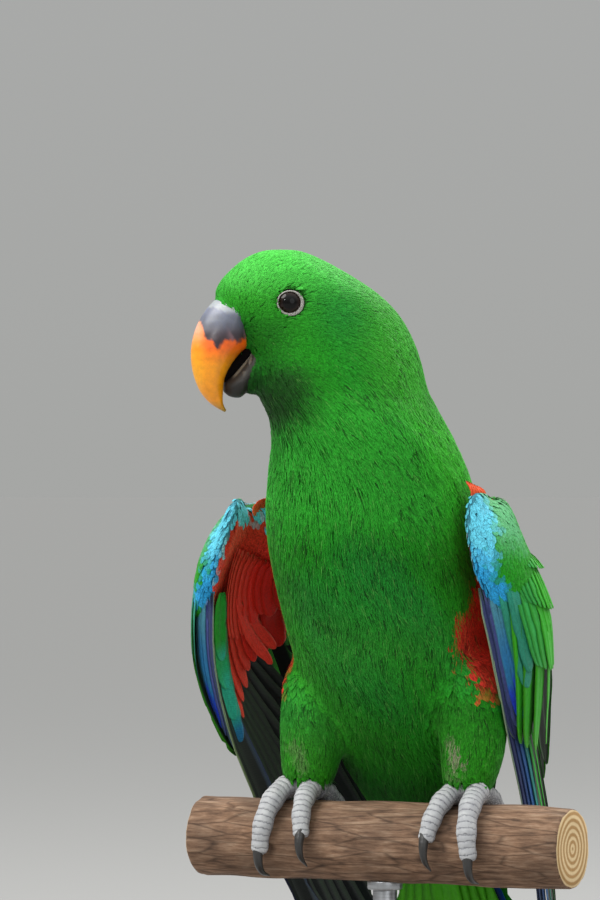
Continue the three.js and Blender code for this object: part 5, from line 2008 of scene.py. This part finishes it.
def past_lids(points):
    """How far points are outside the lids' rings, and which way the eye there looks."""
    past, looks = np.full(len(points), 99.0), np.zeros(points.shape)
    for side in SIDES.values():
        look, up, back = look_frame(side)
        from_eye = points - eye_place(side)
        outward = from_eye @ look
        inner, wide = lid_reach(np.arctan2(from_eye @ up, from_eye @ back))
        beyond = np.linalg.norm(from_eye - outward[:, None] * look, axis=1) - inner - wide
        near = (outward > 0) & (beyond < past)
        past[near] = beyond[near]
        looks[near] = look
    return past, looks


def clear_places(spots):
    """False on the lids, on the bill in front of its feathers and where a leg goes into its foot."""
    clear = past_lids(spots)[0] > EYE_CLEAR
    edge = 0.35 * ripple(spots, 1.6, 44)
    clear &= (past_cover(spots) < edge) | (spots[:, 2] < HEAD_LEVEL)
    # The tail's coverts lie over the end of the rump
    clear &= (spots[:, 2] > -8) | (spots[:, 1] < 44) | (np.abs(spots[:, 0]) > 8)
    return clear & ((spots[:, 2] > 6) | (leg_reach(spots)[0] > 3))


# The model

plumage_coat = feather_material("body_feather_keratin", 0.55, 0.5, 0.55)
plumage_vane = feather_material("flight_feather_keratin", 0.45, 0.25, 0.9)
down_skin = skin_material()

skin = make_skin()
coats = make_coat(skin)
finish(skin, "skin", down_skin, FLESH)
for name, piece in coats:
    finish(piece, name, plumage_coat)

for hand in SIDES:
    pad = make_pad(hand)
    lesser = make_lesser(hand, pad)
    pad_places = sheet_guess(wing_place(hand), points_of(pad)).T
    paint(pad, "plumage", lesser_colours(*pad_places, *TURQUOISE_REACH[hand]))
    finish(pad, f"wing_{hand}_flesh", down_skin)
    finish(lesser, f"wing_{hand}_lesser", plumage_coat)
    finish(make_flight(hand), f"wing_{hand}_vanes", plumage_vane, (f"wing_{hand}",))

finish(make_tail_root(), "tail_flesh", down_skin)
finish(make_tail(), "tail_vanes", plumage_vane, ("tail",))

wet, lid_skin = eye_material(), lid_material()
for hand, side in SIDES.items():
    finish(make_eye(side), f"eyeball_{hand}", wet, (f"eye_{hand}",))
    finish(make_lid(side), f"lid_{hand}", lid_skin)

upper_bill, lower_bill, mouth = make_upper_bill(), make_lower_bill(), make_mouth()
paint(upper_bill, "horn", upper_bill_colours(points_of(upper_bill)))
paint(lower_bill, "horn", lower_bill_colours(points_of(lower_bill)))
paint(mouth, "horn", np.tile(linear("#0a0606"), (len(mouth.data.vertices), 1)))
orange_horn = horn_material("orange_bill_horn", 0.34, 1.6)
finish(upper_bill, "upper_bill", orange_horn, ("bill_upper",))
black_horn = horn_material("black_bill_horn", 0.55, 1.2, 0)
finish(lower_bill, "lower_bill", black_horn, ("bill_lower",))
finish(mouth, "mouth_lining", horn_material("mouth_lining_skin", 0.85, 1.0, 0, 0.08))

foot_skin = foot_material()
claw_horn = horn_material("claw_horn", 0.38, 0.8)
for hand, side in SIDES.items():
    finish(make_foot(side), f"toes_{hand}", foot_skin, (f"foot_{hand}",))
    for toe in TOES:
        claw = make_claw(toe, side)
        grey = blend(linear("#3a3938"), (linear("#161515"), 0.5))
        paint(claw, "horn", np.tile(grey, (len(claw.data.vertices), 1)))
        finish(claw, f"nail_{hand}_{toe['name']}", claw_horn, (f"claw_{hand}_{toe['name']}",))

finish(make_perch(), "branch", bark_material(), ("perch",))
finish(make_rod(), "rod", steel_material(), ("stand_rod",))
finish(make_base(), "base_disc", wood_material(), ("stand_base",))


# Floor, light and camera

FLOOR_GREY = (0.3405, 0.3375, 0.333)  # linear levels, which meet the sky's at the horizon


def make_floor():
    """A plain pale floor, wide enough to meet the background."""
    deselect()
    bpy.ops.mesh.primitive_circle_add(vertices=96, radius=30, fill_type="NGON", location=(0, 0, -0.0002))
    floor = bpy.context.object
    made, _, shader = material("pale_floor", FLOOR_GREY)
    feed(shader, {"Roughness": 0.9, "Specular IOR Level": 0.1})
    floor.name = "floor"
    floor.data.materials.append(made)
    floor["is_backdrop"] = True


def make_sky():
    """The studio's soft sky: bright overhead, and at the horizon as grey as the floor far off."""
    world = bpy.data.worlds.new("studio")
    bpy.context.scene.world = world
    world.use_nodes = True
    tree = world.node_tree
    way = add(tree, "ShaderNodeTexCoord")["Generated"]
    height = add(tree, "ShaderNodeSeparateXYZ", {"Vector": way})["Z"]
    greys = [(0, (0.38, 0.385, 0.375)), (0.12, (0.4, 0.405, 0.4)), (1, (1.5, 1.52, 1.5))]
    feed(tree.nodes["Background"], {"Color": add(tree, "ShaderNodeValToRGB", {"Fac": height}, greys)[0]})


def area_light(name, place, size, power, colour):
    """A round light that shines at the bird's middle."""
    data = bpy.data.lights.new(name, "AREA")
    data.shape = "DISK"
    data.size = size
    data.energy = power
    data.color = colour
    light = bpy.data.objects.new(name, data)
    light.location = place
    aim = Vector((0, 0, (PERCH_TOP + 90) * MM))
    light.rotation_euler = (aim - Vector(place)).to_track_quat("-Z", "Y").to_euler()
    bpy.context.scene.collection.objects.link(light)


def make_camera():
    """A camera at the photograph's viewing angle."""
    turn = math.radians(PHOTO["turn"])
    ahead = np.array([-math.sin(turn), math.cos(turn), 0])
    rightwards = np.array([math.cos(turn), math.sin(turn), 0])
    data = bpy.data.cameras.new("photo_camera")
    data.sensor_width = 36
    data.lens = 36 * PHOTO["distance"] / (PHOTO["pixel"] * PHOTO["high"])
    camera = bpy.data.objects.new("photo_camera", data)
    camera.location = (rightwards * PHOTO["across"] - ahead * PHOTO["distance"] + (0, 0, PHOTO["up"])) * MM
    camera.rotation_euler = Vector(ahead).to_track_quat("-Z", "Y").to_euler()
    bpy.context.scene.collection.objects.link(camera)
    bpy.context.scene.camera = camera


make_floor()
make_sky()
area_light("sky_left", (-0.9, -0.9, 1.7), 1.2, 26, (1, 0.99, 0.96))
area_light("fill_right", (1.6, -1.3, 0.7), 1.4, 4, (0.96, 0.98, 1))
area_light("window", (-0.35, -1.75, 1.0), 0.22, 4, (1, 1, 1))
area_light("rim_back", (0.6, 1.3, 1.6), 1.0, 22, (1, 1, 1))
bpy.context.scene.view_settings.view_transform = "Standard"
make_camera()

low_high = [[list(corner) for corner in box] for box in (cad_box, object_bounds())]
